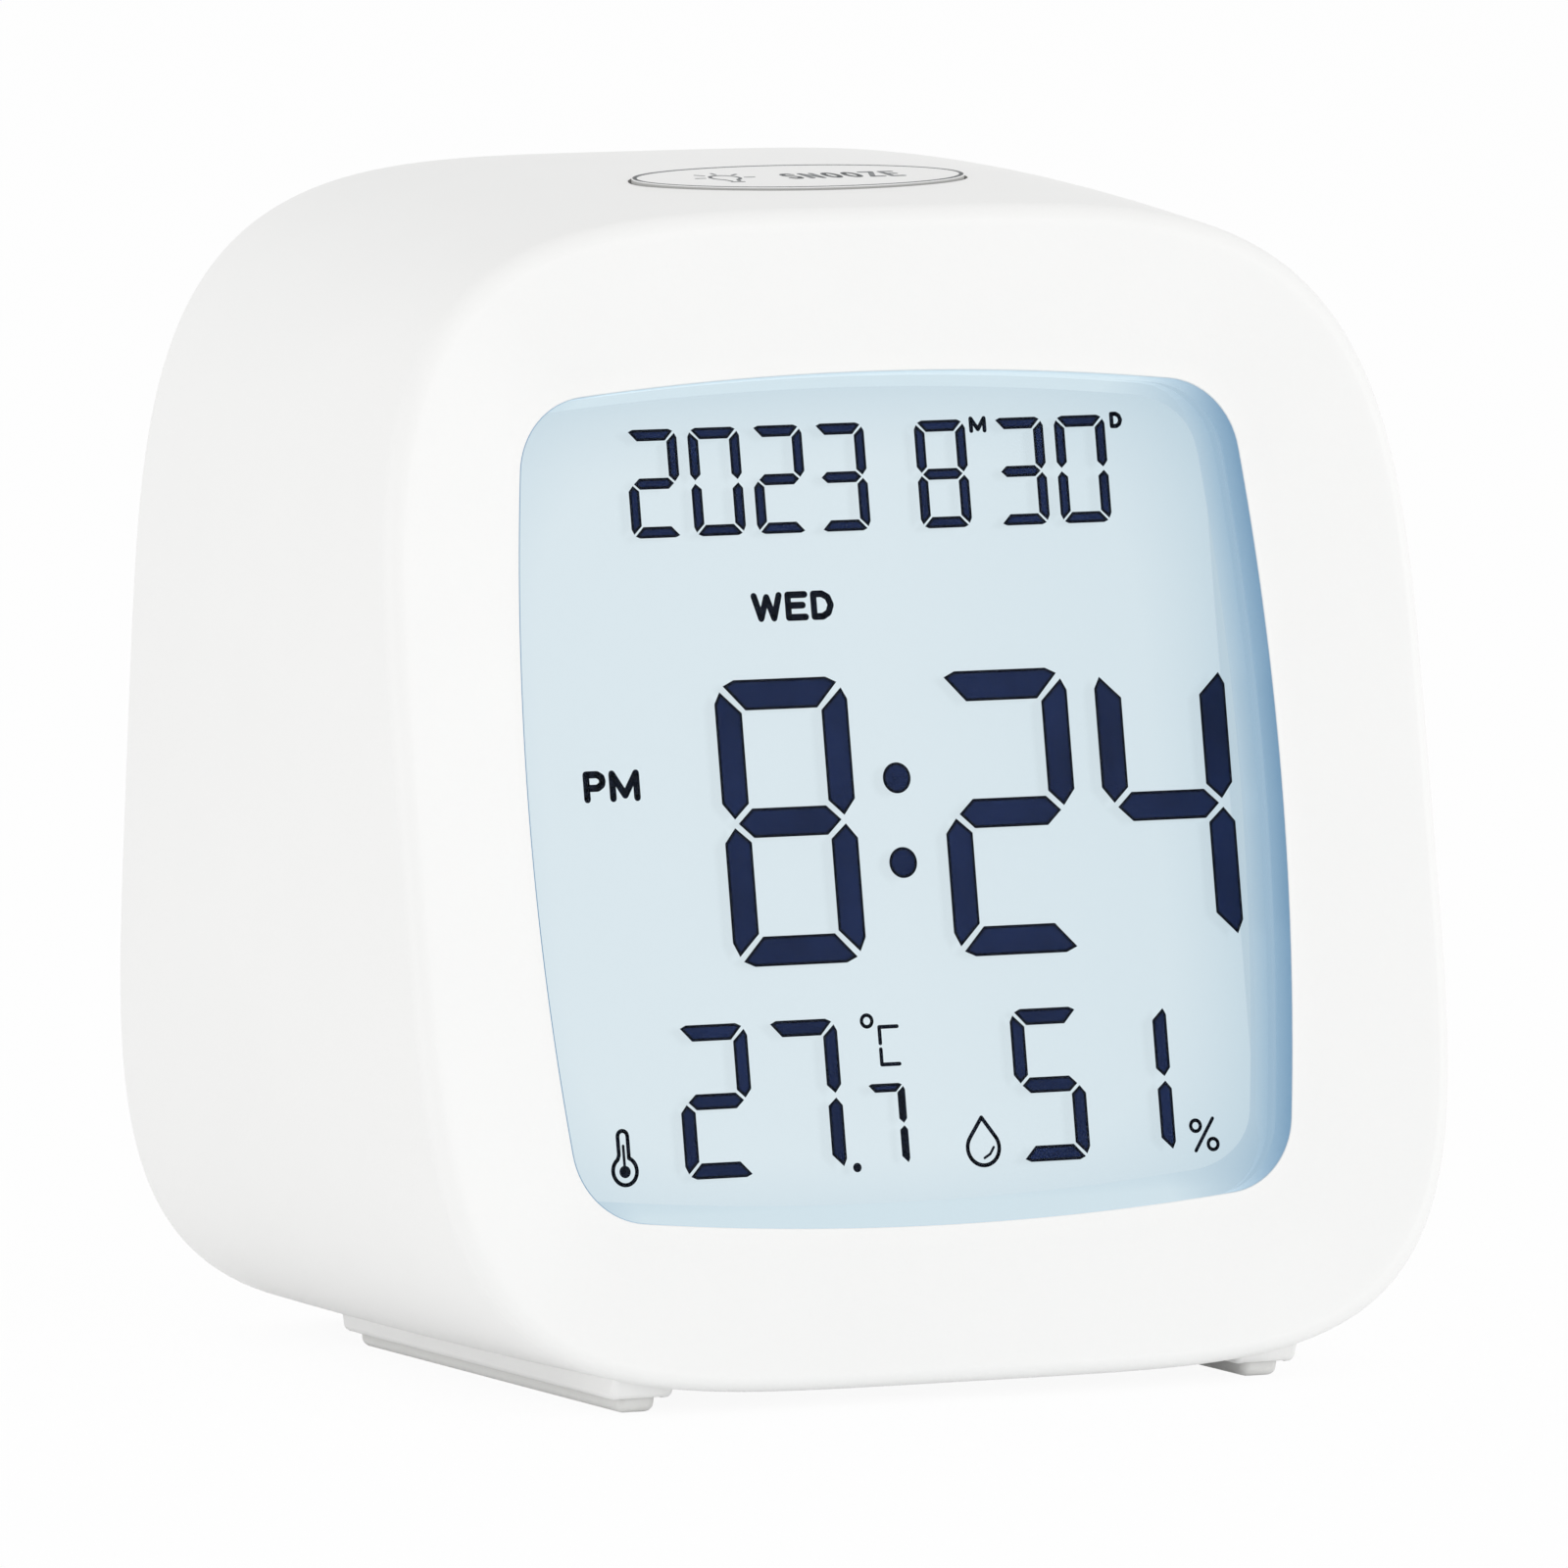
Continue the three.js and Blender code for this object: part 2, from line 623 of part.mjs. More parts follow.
function footStrip(side) {
  const { front, back } = footStations();
  const top = floor + footDrop + footSink - seatGap;
  const half = footWidth / 2;
  const inset = footRibWall + slideGap + footEndSlope * footSink;
  const section = new THREE.Shape();
  section.moveTo(-half, top);
  section.lineTo(-half, floor + footDrop);
  section.quadraticCurveTo(-half * 0.95, floor, -half * 0.6, floor);
  section.lineTo(half * 0.6, floor);
  section.quadraticCurveTo(half * 0.95, floor, half, floor + footDrop);
  section.lineTo(half, top);
  const length = back - front - 2 * inset;
  const strip = new THREE.ExtrudeGeometry(section, { depth: length, bevelEnabled: false, curveSegments: 5 });
  strip.rotateX(Math.PI / 2).translate((side * footSpan) / 2, front + inset + length, 0);
  const slope = footEndSlope * footDrop;
  const ends = new THREE.Shape([
    new THREE.Vector2(front + inset + slope, floor),
    new THREE.Vector2(front + inset + length - slope, floor),
    new THREE.Vector2(front + inset + length, floor + footDrop),
    new THREE.Vector2(front + inset + length, top),
    new THREE.Vector2(front + inset, top),
    new THREE.Vector2(front + inset, floor + footDrop),
  ]);
  const envelope = new THREE.ExtrudeGeometry(ends, { depth: footWidth + 2, bevelEnabled: false });
  envelope.applyMatrix4(new THREE.Matrix4().makeBasis(
    new THREE.Vector3(0, 1, 0), new THREE.Vector3(0, 0, 1), new THREE.Vector3(1, 0, 0)));
  envelope.translate((side * footSpan) / 2 - footWidth / 2 - 1, 0, 0);
  return common(strip, envelope);
}

// Housing: a lofted shell with a dished face, window, key hole, bosses and posts

function housingOuter() {
  const arc = [0, 30, 60, 90].map(radians);
  const rim = arc.map((angle) => {
    return onFrontLevel(frontOutline(rimRadius * (1 - Math.sin(angle))), rimRadius * (1 - Math.cos(angle)));
  });
  const back = arc.map((angle) => {
    return onRear(rearOutline(rearRadius * (1 - Math.cos(angle))), rearRadius * (1 - Math.sin(angle)));
  });
  const sides = sideRings(rim[rim.length - 1], back[0]);
  return loft([onFront(windowOutline(windowSplay), dish), ...rim, ...sides, ...back]);
}

// Room inside the walls, less a margin
function housingCavity(margin) {
  const front = onFrontLevel(frontOutline(wall + margin), rimRadius);
  const back = onRear(rearOutline(wall + margin), rearRadius);
  const behind = onRear(rearOutline(wall + margin), -1);
  const faceIn = front.map((point, i) => {
    const share = (faceWallIn - rimRadius) / Math.cos(lean) / (back[i].y - point.y);
    const inner = sidePoint(point, back[i], share);
    inner.y = inner.z * Math.tan(lean) + faceWallIn / Math.cos(lean);
    return inner;
  });
  return loft([faceIn, ...sideRings(front, back), back, behind]);
}

function coverSeat() {
  const outline = rearOutline(coverLip);
  return loft([onRear(outline, seatGap - coverIn), onRear(outline, -1)]);
}

function coverBosses() {
  const end = coverIn - seatGap - bossDrop;
  return coverScrewPlaces.map(([x, z]) => {
    const post = barY(bossRadius, bossLength, x, end - bossLength, z);
    const angle = Math.atan2(z, x);
    const reach = pillowReach(rearWidth, rearHeight, rearPowers, angle) - wall / 4 - Math.hypot(x, z);
    const web = box(reach, bossLength, bossWeb, reach / 2, end - bossLength / 2, 0);
    web.rotateY(-angle).translate(x, 0, z);
    return intoWorld(join(post, web), rear);
  });
}

function displayPosts() {
  const length = frameBack - earThickness - seatGap - faceWallIn + 1;
  return mounts.map(([x, z]) => intoWorld(barY(postRadius, length, x, faceWallIn - 1, z), face));
}

function topBoardPosts() {
  const length = -wall / 2 - topBoardTop - seatGap;
  return topPostXs.map((x) => intoWorld(
    barZ(topPostRadius, length, x, switchSetback, topBoardTop + seatGap), crown));
}

function housing() {
  const outer = housingOuter();
  const shell = cut(outer, housingCavity(0), coverSeat());
  const inner = common(join(...coverBosses(), ...displayPosts(), ...topBoardPosts()), outer);
  const window = intoWorld(plate(windowOutline(0), dish - 2, wall + 4), face);
  const holeOutline = ellipse(keyWidth + 2 * slideGap, keyDepth + 2 * slideGap);
  const keyHole = intoWorld(plateZ(holeOutline, -wall - 2, wall + 4), crown);
  const bossHoles = coverScrewPlaces.map(([x, z]) => intoWorld(barY(coverScrewRadius + holeGap,
    coverScrewLength + 1, x, coverIn - seatGap - coverScrewLength, z, segments.small), rear));
  const postHoles = mounts.map(([x, z]) => intoWorld(barY(screwRadius + holeGap, screwLength + 1, x,
    boardBack - screwLength - seatGap, z, segments.small), face));
  const topHoles = topPostXs.map((x) => intoWorld(
    barZ(screwRadius + holeGap, 4, x, switchSetback, topBoardTop - 1, segments.small), crown));
  const body = join(shell, inner, footRib(1), footRib(-1));
  return cut(body, window, keyHole, ...bossHoles, ...postHoles, ...topHoles, footSeat(1), footSeat(-1));
}

piece('housing', housing(), whitePlastic);
piece('foot_strip_left', footStrip(-1), softWhite);
piece('foot_strip_right', footStrip(1), softWhite);

// Window and display stack, in the leaning frame

function lens() {
  const boss = plate(windowOutline(-lensGap), dish, lensFlangeFront - dish + 0.2);
  const flange = plate(windowOutline(lensFlange), lensFlangeFront, lensFlangeThickness);
  return join(boss, flange);
}

function displayFrame() {
  const outer = plate(roundedRectangle(frameWidth, frameHeight, 3), frameFront, frameBack - frameFront);
  const ears = mounts.map(([x, z]) => {
    const reach = Math.abs(x) + postRadius - slideGap;
    const width = reach - frameWidth / 2 + 0.5;
    return box(width, earThickness, 2 * postRadius, Math.sign(x) * (reach - width / 2),
      frameBack - earThickness / 2, z);
  });
  const opening = plate(windowOutline(0), frameFront - 1, displayDepth - frameFront + 2);
  const pocketDepth = frameBack - displayDepth + seatGap + 1;
  const pocket = box(lcdWidth + 2 * pocketGap, pocketDepth, lcdHeight + 2 * pocketGap, 0,
    displayDepth - seatGap + pocketDepth / 2, 0);
  const holes = mounts.map(([x, z]) => barY(screwRadius + holeGap, 8, x, frameBack - 5, z, segments.small));
  const room = fromWorld(housingCavity(seatGap), face);
  return cut(common(join(outer, ...ears), room), opening, pocket, ...holes);
}

const glassLow = -lcdHeight / 2;
const rearGlassHeight = lcdHeight - contactLedge;
const guideWidth = lcdWidth - 2 * lightGuideBorder;
const guideHeight = rearGlassHeight - 0.6;
const guideMiddle = lcdHeight / 2 - rearGlassHeight / 2;
const ledBoardX = -lcdWidth / 2 + 0.5;

piece('window_lens', lens(), clearPlastic, face);
piece('display_frame', displayFrame(), innerPlastic, face);
piece('front_polariser', box(lcdWidth - 2 * polariserBorder, polariserThickness,
  lcdHeight - 2 * polariserBorder, 0, polariserFront + polariserThickness / 2, 0), film, face);
piece('lcd_front_glass', box(lcdWidth, glassThickness, lcdHeight, 0,
  frontGlass + glassThickness / 2, 0), glass, face);
piece('lcd_rear_glass', box(lcdWidth, glassThickness, rearGlassHeight, 0, rearGlass + glassThickness / 2,
  guideMiddle), glass, face);
piece('rear_polariser', box(lcdWidth - 2 * polariserBorder, polariserThickness,
  rearGlassHeight - 2 * polariserBorder, 0, rearPolariser + polariserThickness / 2, guideMiddle), film, face);
piece('light_guide', box(guideWidth, lightGuideThickness, guideHeight, 0,
  lightGuideFront + lightGuideThickness / 2, guideMiddle), lightPlastic, face);
piece('reflector_sheet', box(guideWidth, reflectorThickness, guideHeight, 0,
  reflectorFront + reflectorThickness / 2, guideMiddle), foil, face);

// Light board on the left edge of the light guide, with its LEDs in a column
function ledColumn() {
  const pitch = guideHeight / ledCount;
  return Array.from({ length: ledCount }, (_, i) => box(ledSize[0], ledSize[2], ledSize[1],
    ledBoardX + ledBoardThickness / 2 + layerGap + ledSize[0] / 2, lightGuideFront + lightGuideThickness / 2,
    guideMiddle + (i - (ledCount - 1) / 2) * pitch));
}
piece('light_board', box(ledBoardThickness, lightGuideThickness - 0.2, guideHeight - 4, ledBoardX,
  lightGuideFront + lightGuideThickness / 2, guideMiddle), boardGreen, face);
pieces('side_led', ledColumn(), lampWhite, face);

// Contact strip between the ledge of the front glass and the main board
const stripFront = frontGlass + glassThickness + layerGap;
const stripBack = boardFront - layerGap;
piece('contact_strip', box(lcdWidth - 2 * stripInset, stripBack - stripFront, stripThickness, 0,
  (stripBack + stripFront) / 2, glassLow + 0.3 + stripThickness / 2), rubber, face);

// Main board with its parts on the back
const boardLow = glassLow - 0.2;
const boardMiddle = (mainBoardTop + boardLow) / 2;

function mainBoard() {
  const outline = roundedRectangle(mainBoardWidth, mainBoardTop - boardLow, mainBoardCorner, 0, boardMiddle);
  const holes = mounts.map(([x, z]) => barY(screwRadius + holeGap, 6, x, boardFront - 2, z, segments.small));
  const room = fromWorld(housingCavity(2 * seatGap), face);
  return cut(common(plate(outline, boardFront, boardThickness), room), ...holes);
}

function controllerChip() {
  const [width, height, thick] = chipSize;
  const profile = [[0, 0], [0.5, 0], [0.45, 0.5], [0.25, 0.92], [0, 1]];
  const points = profile.map(([r, h]) => new THREE.Vector2(r * width, h * thick));
  const dome = new THREE.LatheGeometry(points, segments.round);
  return dome.scale(1, 1, height / width).translate(0, boardBack + layerGap, chipHeight);
}

function boardScrews() {
  return mounts.map(([x, z]) => {
    const head = barY(screwHeadRadius, screwHeadHeight, x, boardBack + layerGap, z, segments.small);
    const shank = barY(screwRadius, screwLength, x, boardBack + 0.1 - screwLength, z, segments.small);
    return join(head, shank);
  });
}

piece('main_board', mainBoard(), boardGreen, face);
piece('controller_chip', controllerChip(), blackResin, face);
const [crystalX, crystalZ] = crystalPlace;
piece('clock_crystal', barX(crystalRadius, crystalLength, crystalX, boardBack + crystalRadius + layerGap,
  crystalZ), nickel, face);
const [capacitorX, capacitorZ] = capacitorPlace;
piece('reservoir_capacitor', barY(capacitorRadius, capacitorLength, capacitorX, boardBack + layerGap,
  capacitorZ), blackResin, face);
pieces('board_screw', boardScrews(), steel, face);

// Top key and its switch, in the crown frame

function topKey() {
  const capLow = keyFlangeTop - 2 * keyEdge;
  const cap = plateZ(ellipse(keyWidth, keyDepth), capLow, -capLow, keyEdge);
  const flange = plateZ(ellipse(keyWidth + 2 * keyFlange, keyDepth + 2 * keyFlange),
    keyFlangeTop - keyFlangeThickness, keyFlangeThickness);
  const stem = barZ(keyStemRadius, keyStemLength + 0.2, 0, switchSetback, keyStemEnd);
  return join(cap, flange, stem);
}

function topSwitch() {
  const [width, depth, height] = switchSize;
  const body = box(width, depth, height, 0, switchSetback, topBoardTop + layerGap + height / 2);
  const stem = barZ(switchStemRadius, switchStemHeight + 0.2, 0, switchSetback, topBoardTop + height - 0.15);
  return join(body, stem);
}

function topBoard() {
  const thick = topBoardThickness;
  const board = box(topBoardWidth, topBoardDepth, thick, 0, switchSetback, topBoardTop - thick / 2);
  const holes = topPostXs.map((x) => barZ(screwRadius + holeGap, thick + 2, x, switchSetback,
    topBoardTop - thick - 1, segments.small));
  return cut(board, ...holes);
}

function topBoardScrews() {
  const under = topBoardTop - topBoardThickness;
  return topPostXs.map((x) => {
    const head = barZ(screwHeadRadius, screwHeadHeight, x, switchSetback, under - layerGap - screwHeadHeight,
      segments.small);
    const shank = barZ(screwRadius, topScrewLength, x, switchSetback, under - 0.1, segments.small);
    return join(head, shank);
  });
}

piece('top_key', topKey(), keyPlastic, crown);
piece('top_key_switch', topSwitch(), blackResin, crown);
piece('top_key_board', topBoard(), boardGreen, crown);
pieces('top_board_screw', topBoardScrews(), steel, crown);

// Back cover, in the rear frame: plate, battery bay, key holes, buzzer ring, slots and posts

function bayTools() {
  const deep = coverOut - bayFloor + 1;
  const recess = box(doorWidth + 2 * doorGap, deep, doorHeight + 2 * doorGap, 0, doorIn - seatGap + deep / 2,
    bayCentreHeight);
  const inside = box(bayInside, deep, bayHeight, 0, bayFloor + deep / 2, bayCentreHeight);
  const [tabWidth, tabThick, tabReach] = doorTabSize;
  const slotDeep = tabOut - tabThick - doorTabRoom;
  const slotLow = doorLow - tabReach - doorTabRoom;
  const slots = tabXs.map((x) => box(tabWidth + 2 * doorGap, doorIn - slotDeep, doorLow + 2 - slotLow, x,
    (doorIn + slotDeep) / 2, (doorLow + 2 + slotLow) / 2));
  return [recess, inside, ...slots];
}

function cellSaddles() {
  return [-saddlePlace, saddlePlace].map((x) => {
    const rib = box(saddleThickness, saddleHeight, bayHeight - 0.4, x, bayFloor + saddleHeight / 2 - 0.1,
      bayCentreHeight);
    const seats = cellRows.map((z) => barX(cellRadius + saddleGap, 4 * saddleThickness,
      x - 2 * saddleThickness, cellBack, z));
    return cut(rib, ...seats);
  });
}

function backCover() {
  const outline = rearOutline(coverLip + coverGap);
  const cover = plate(outline, coverIn, coverThickness);
  const [bayBottom, bayTop] = [bayFloor - bayFloorThickness, coverIn + 0.5];
  const bay = box(bayInside + 2 * bayWall, bayTop - bayBottom, bayHeight + 2 * bayWall, 0,
    (bayTop + bayBottom) / 2, bayCentreHeight);
  const [bx, bz] = buzzerCentre;
  const ring = cut(barY(buzzerRadius + slideGap + buzzerWall, buzzerRing + 0.2, bx, coverIn - buzzerRing, bz),
    barY(buzzerRadius + slideGap, buzzerRing + 1, bx, coverIn - buzzerRing - 1, bz));
  const posts = keyPostXs.map((x) => barY(keyPostRadius, coverIn - keyBoardOut - seatGap + 0.5, x,
    keyBoardOut + seatGap, rearKeyHeight));
  const keyHoles = rearKeyXs.map((x) => plate(
    roundedRectangle(rearKeySize[0] + 2 * slideGap, rearKeySize[1] + 2 * slideGap, rearKeySize[1] / 2, x,
      rearKeyHeight), coverIn - 1, coverThickness + 2));
  const ringAngles = Array.from({ length: 6 }, (_, i) => (i * Math.PI) / 3);
  const soundPlaces = [[0, 0], ...ringAngles.map((angle) => [Math.cos(angle), Math.sin(angle)])];
  const soundHoles = soundPlaces.map(([x, z]) => barY(soundHoleRadius, coverThickness + 2,
    bx + x * soundHoleRing, coverIn - 1, bz + z * soundHoleRing, segments.small));
  const [sx, sz] = sensorCentre;
  const slots = Array.from({ length: sensorSlots }, (_, i) => plate(
    roundedRectangle(sensorSlotSize[0], sensorSlotSize[1], sensorSlotSize[0] / 2,
      sx + (i - (sensorSlots - 1) / 2) * sensorSlotPitch, sz), coverIn - 1, coverThickness + 2));
  const screwHoles = coverScrewPlaces.flatMap(([x, z]) => [
    barY(coverScrewRadius + holeGap, coverThickness + 2, x, coverIn - 1, z, segments.small),
    barY(coverScrewHeadRadius + slideGap, 4, x, coverOut - coverScrewHeadHeight - 0.1, z, segments.small)]);
  const postHoles = keyPostXs.map((x) => barY(screwRadius + holeGap, 5, x, keyBoardOut - 1, rearKeyHeight,
    segments.small));
  const body = cut(join(cover, bay, ring, ...posts), ...bayTools());
  return cut(join(body, ...cellSaddles()), ...keyHoles, ...soundHoles, ...slots, ...screwHoles, ...postHoles);
}

function coverScrewSet() {
  return coverScrewPlaces.map(([x, z]) => {
    const seat = coverOut - coverScrewHeadHeight;
    const head = barY(coverScrewHeadRadius, coverScrewHeadHeight, x, seat, z, segments.small);
    const shank = barY(coverScrewRadius, coverScrewLength, x, seat - coverScrewLength + 0.1, z,
      segments.small);
    return join(head, shank);
  });
}

piece('back_cover', backCover(), whitePlastic, rear);
pieces('back_cover_screw', coverScrewSet(), steel, rear);

// Battery door with two hooks under the cover and a snap tongue at its upper edge

function batteryDoor() {
  const panel = softPlate(roundedRectangle(doorWidth, doorHeight, doorCorner, 0, bayCentreHeight), doorIn,
    doorThickness, doorEdge);
  const [tabWidth, tabThick, tabReach] = doorTabSize;
  const hooks = tabXs.flatMap((x) => [
    box(tabWidth, doorIn - tabOut + tabThick + 2 * doorEdge, tabRoot, x,
      (doorIn + 2 * doorEdge + tabOut - tabThick) / 2, doorLow + doorEdge + tabRoot / 2),
    box(tabWidth, tabThick, tabReach + doorEdge + tabRoot, x, tabOut - tabThick / 2,
      doorLow + (doorEdge + tabRoot - tabReach) / 2)]);
  const doorTop = doorLow + doorHeight;
  const slotXs = [-(latchWidth + latchSlot) / 2, (latchWidth + latchSlot) / 2];
  const slots = slotXs.map((x) => box(latchSlot, 2 * doorThickness, latchHeight + 1, x,
    doorIn + doorThickness / 2, doorTop - latchHeight / 2 + 0.5));
  const grip = [0, 1, 2].map((i) => box(latchWidth - 2 * gripInset, 2 * gripHeight, gripWidth, 0, doorOut,
    doorTop - gripInset - gripPitch * i));
  return cut(join(panel, ...hooks, ...grip), ...slots);
}
piece('battery_door', batteryDoor(), whitePlastic, rear);

// Rear keys, their board and switches

function rearKey(x) {
  const [width, height] = rearKeySize;
  const capIn = keyFlangeOut - 2 * keyEdge;
  const cap = softPlate(roundedRectangle(width, height, height / 2 - keyEdge, x, rearKeyHeight), capIn,
    coverOut + rearKeyProud - capIn, keyEdge);
  const grow = 2 * (rearKeyFlange + slideGap);
  const flange = plate(roundedRectangle(width + grow, height + grow, height / 2, x, rearKeyHeight),
    keyFlangeIn, rearKeyFlangeThickness);
  const stem = barY(switchStemRadius, rearKeyStem + 0.2, x, rearKeyStemEnd, rearKeyHeight);
  return join(cap, flange, stem);
}

function rearSwitches() {
  const [width, height, depth] = switchSize;
  return rearKeyXs.map((x) => {
    const body = box(width, depth, height, x, keyBoardOut + layerGap + depth / 2, rearKeyHeight);
    const stem = barY(switchStemRadius, switchStemHeight + 0.2, x, keyBoardOut + depth - 0.15, rearKeyHeight);
    return join(body, stem);
  });
}

function keyBoard() {
  const board = box(keyBoardWidth, keyBoardThickness, keyBoardHeight, 0, keyBoardOut - keyBoardThickness / 2,
    rearKeyHeight);
  const holes = keyPostXs.map((x) => barY(screwRadius + holeGap, keyScrewLength, x, keyBoardOut - 3,
    rearKeyHeight, segments.small));
  return cut(board, ...holes);
}

function keyBoardScrews() {
  const inner = keyBoardOut - keyBoardThickness;
  return keyPostXs.map((x) => {
    const head = barY(screwHeadRadius, screwHeadHeight, x, inner - layerGap - screwHeadHeight, rearKeyHeight,
      segments.small);
    const shank = barY(screwRadius, keyScrewLength, x, inner - 0.1, rearKeyHeight, segments.small);
    return join(head, shank);
  });
}

const rearKeyNames = ['key_mode', 'key_up', 'key_down', 'key_alarm'];
rearKeyXs.forEach((x, i) => piece(rearKeyNames[i], rearKey(x), keyPlastic, rear));
pieces('rear_key_switch', rearSwitches(), blackResin, rear);
piece('rear_key_board', keyBoard(), boardGreen, rear);
pieces('key_board_screw', keyBoardScrews(), steel, rear);

// Buzzer behind its holes, sensor behind its slots

function buzzer() {
  const [x, z] = buzzerCentre;
  const can = barY(buzzerRadius, buzzerHeight, x, coverIn - seatGap - buzzerHeight, z);
  return cut(can, barY(1.1, 2, x, coverIn - seatGap - 1, z, segments.small));
}

function sensor() {
  const [x, z] = sensorCentre;
  const [width, depth, height] = sensorSize;
  const back = coverIn - seatGap - depth;
  const board = box(width, sensorBoard, height, x, back + sensorBoard / 2, z);
  const cap = box(width * 0.6, depth - sensorBoard / 2, height * 0.7, x,
    back + (depth + sensorBoard / 2) / 2, z);
  return join(board, cap);
}
piece('buzzer', buzzer(), blackResin, rear);
piece('climate_sensor', sensor(), innerPlastic, rear);

// Cells and contacts

class Coil extends THREE.Curve {
  constructor(startRadius, endRadius, length, turns) {
    super();
    Object.assign(this, { startRadius, endRadius, length, turns });
  }

  getPoint(t) {
    const angle = t * this.turns * Math.PI * 2;
    const radius = this.startRadius + (this.endRadius - this.startRadius) * t;
    return new THREE.Vector3(t * this.length, radius * Math.cos(angle), radius * Math.sin(angle));
  }
}

function spring(x, z, direction) {
  const path = new Coil(...springRadii, springLength - 2 * springWire, springTurns);
  const section = new THREE.Shape(ellipse(2 * springWire, 2 * springWire, 5));
  const options = { steps: springTurns * 10, extrudePath: path, bevelEnabled: false };
  const wire = new THREE.ExtrudeGeometry(section, options);
  if (direction < 0) {
    wire.rotateZ(Math.PI);
  }
  return wire.translate(x, cellBack, z);
}

function cell(row, capSide) {
  const z = cellRows[row];
  const end = bayInside / 2 - contactThickness - seatGap;
  const capEnd = capSide * (end - seatGap);
  const bodyStart = capEnd - capSide * cellCapHeight;
  const low = Math.min(bodyStart, bodyStart - capSide * cellLength);
  const body = barX(cellRadius, cellLength, low, cellBack, z);
  const capLow = Math.min(capEnd, bodyStart - capSide * 0.3);
  const cap = barX(cellCapRadius, cellCapHeight + 0.3, capLow, cellBack, z);
  return join(body, cap);
}

const contactX = bayInside / 2 - seatGap - contactThickness / 2;
const springSeat = contactX - contactThickness / 2 + 0.2;
const contactHeight = 2 * cellRadius - 0.6;

function bridgeContact() {
  const strap = box(contactThickness, contactHeight, cellPitch + contactHeight, -contactX, cellBack,
    bayCentreHeight);
  return join(strap, spring(-springSeat, cellRows[1], 1));
}

function endContact(row) {
  return box(contactThickness, contactHeight, contactHeight, contactX, cellBack, cellRows[row]);
}

piece('cell_upper', cell(0, -1), cellSleeve, rear);
piece('cell_lower', cell(1, 1), cellSleeve, rear);
piece('bridge_contact', bridgeContact(), nickel, rear);
piece('negative_terminal', join(endContact(0), spring(springSeat, cellRows[0], -1)), nickel, rear);
piece('positive_terminal', endContact(1), nickel, rear);

// The origin lies on the table, under the middle of the part
const bounds = new THREE.Box3().setFromObject(clock);
clock.position.set(0, -(bounds.min.y + bounds.max.y) / 2, -floor);
clock.updateMatrixWorld(true);

export default clock;
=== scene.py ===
import math
import bmesh
import bpy
from mathutils import Matrix, Vector


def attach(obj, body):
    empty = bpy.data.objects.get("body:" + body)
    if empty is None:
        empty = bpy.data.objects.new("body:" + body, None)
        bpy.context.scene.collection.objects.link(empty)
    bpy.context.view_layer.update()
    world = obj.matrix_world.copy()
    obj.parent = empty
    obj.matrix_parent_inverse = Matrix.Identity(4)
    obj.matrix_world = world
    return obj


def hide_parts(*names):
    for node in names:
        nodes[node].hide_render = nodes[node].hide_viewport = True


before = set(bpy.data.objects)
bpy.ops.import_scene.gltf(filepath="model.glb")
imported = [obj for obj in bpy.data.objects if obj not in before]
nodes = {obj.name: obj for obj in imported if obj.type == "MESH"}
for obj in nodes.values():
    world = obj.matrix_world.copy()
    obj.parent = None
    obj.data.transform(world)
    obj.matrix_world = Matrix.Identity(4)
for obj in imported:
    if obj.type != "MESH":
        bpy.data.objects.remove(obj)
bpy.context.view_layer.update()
print("frame loaded:", len(nodes), "nodes")

# Lengths below are in millimetres and become metres where a mesh is made
caseShape = {
    "frontWidth": 78.8, "frontHeight": 79.9, "frontLean": 10.8, "frontPowers": (3.97, 4.6),
    "rearWidth": 76.2, "rearHeight": 81, "rearLean": 4.3, "rearPowers": (4.2, 4.35),
    "depth": 46, "rearRise": 0.4, "bulge": 0.8, "cornerEase": 0.6, "wall": 2,
    "rimRadius": 1.2, "rearRadius": 0.9, "dish": 2.5, "dishStart": 0.6, "windowFillet": 0.12,
    "coverStep": 1, "coverDepth": 3.1,
    "toMiddle": -20.854, "toTable": 40.356,
    "shy": 0.9992,  # keeps the finer edges inside the solid's outline
}
windowShape = {"width": 57.5, "height": 58, "sideArc": 201, "topArc": 224, "corner": 5.5}
lean = math.radians(caseShape["frontLean"])
tilt = math.radians(caseShape["rearLean"])
faceFrame = (Matrix.Translation((0, caseShape["toMiddle"], caseShape["toTable"]))
             @ Matrix.Rotation(-lean, 4, "X"))
rearFrame = (Matrix.Translation((0, caseShape["toMiddle"] + caseShape["depth"],
                                 caseShape["toTable"] + caseShape["rearRise"]))
             @ Matrix.Rotation(tilt, 4, "X"))
crownFrame = Matrix.Translation((0, -1.354, 80.838)) @ Matrix.Rotation(math.radians(4.153), 4, "X")
tableFrame = Matrix.Translation((0, caseShape["toMiddle"], caseShape["toTable"]))

# Camera at the photograph's angle
cameraView = {"azimuth": 27.4845, "elevation": 5.7519, "roll": 0.507, "distance": 1375.83,
              "sideways": 9.6133, "upward": -0.6531, "lens": 467.97}


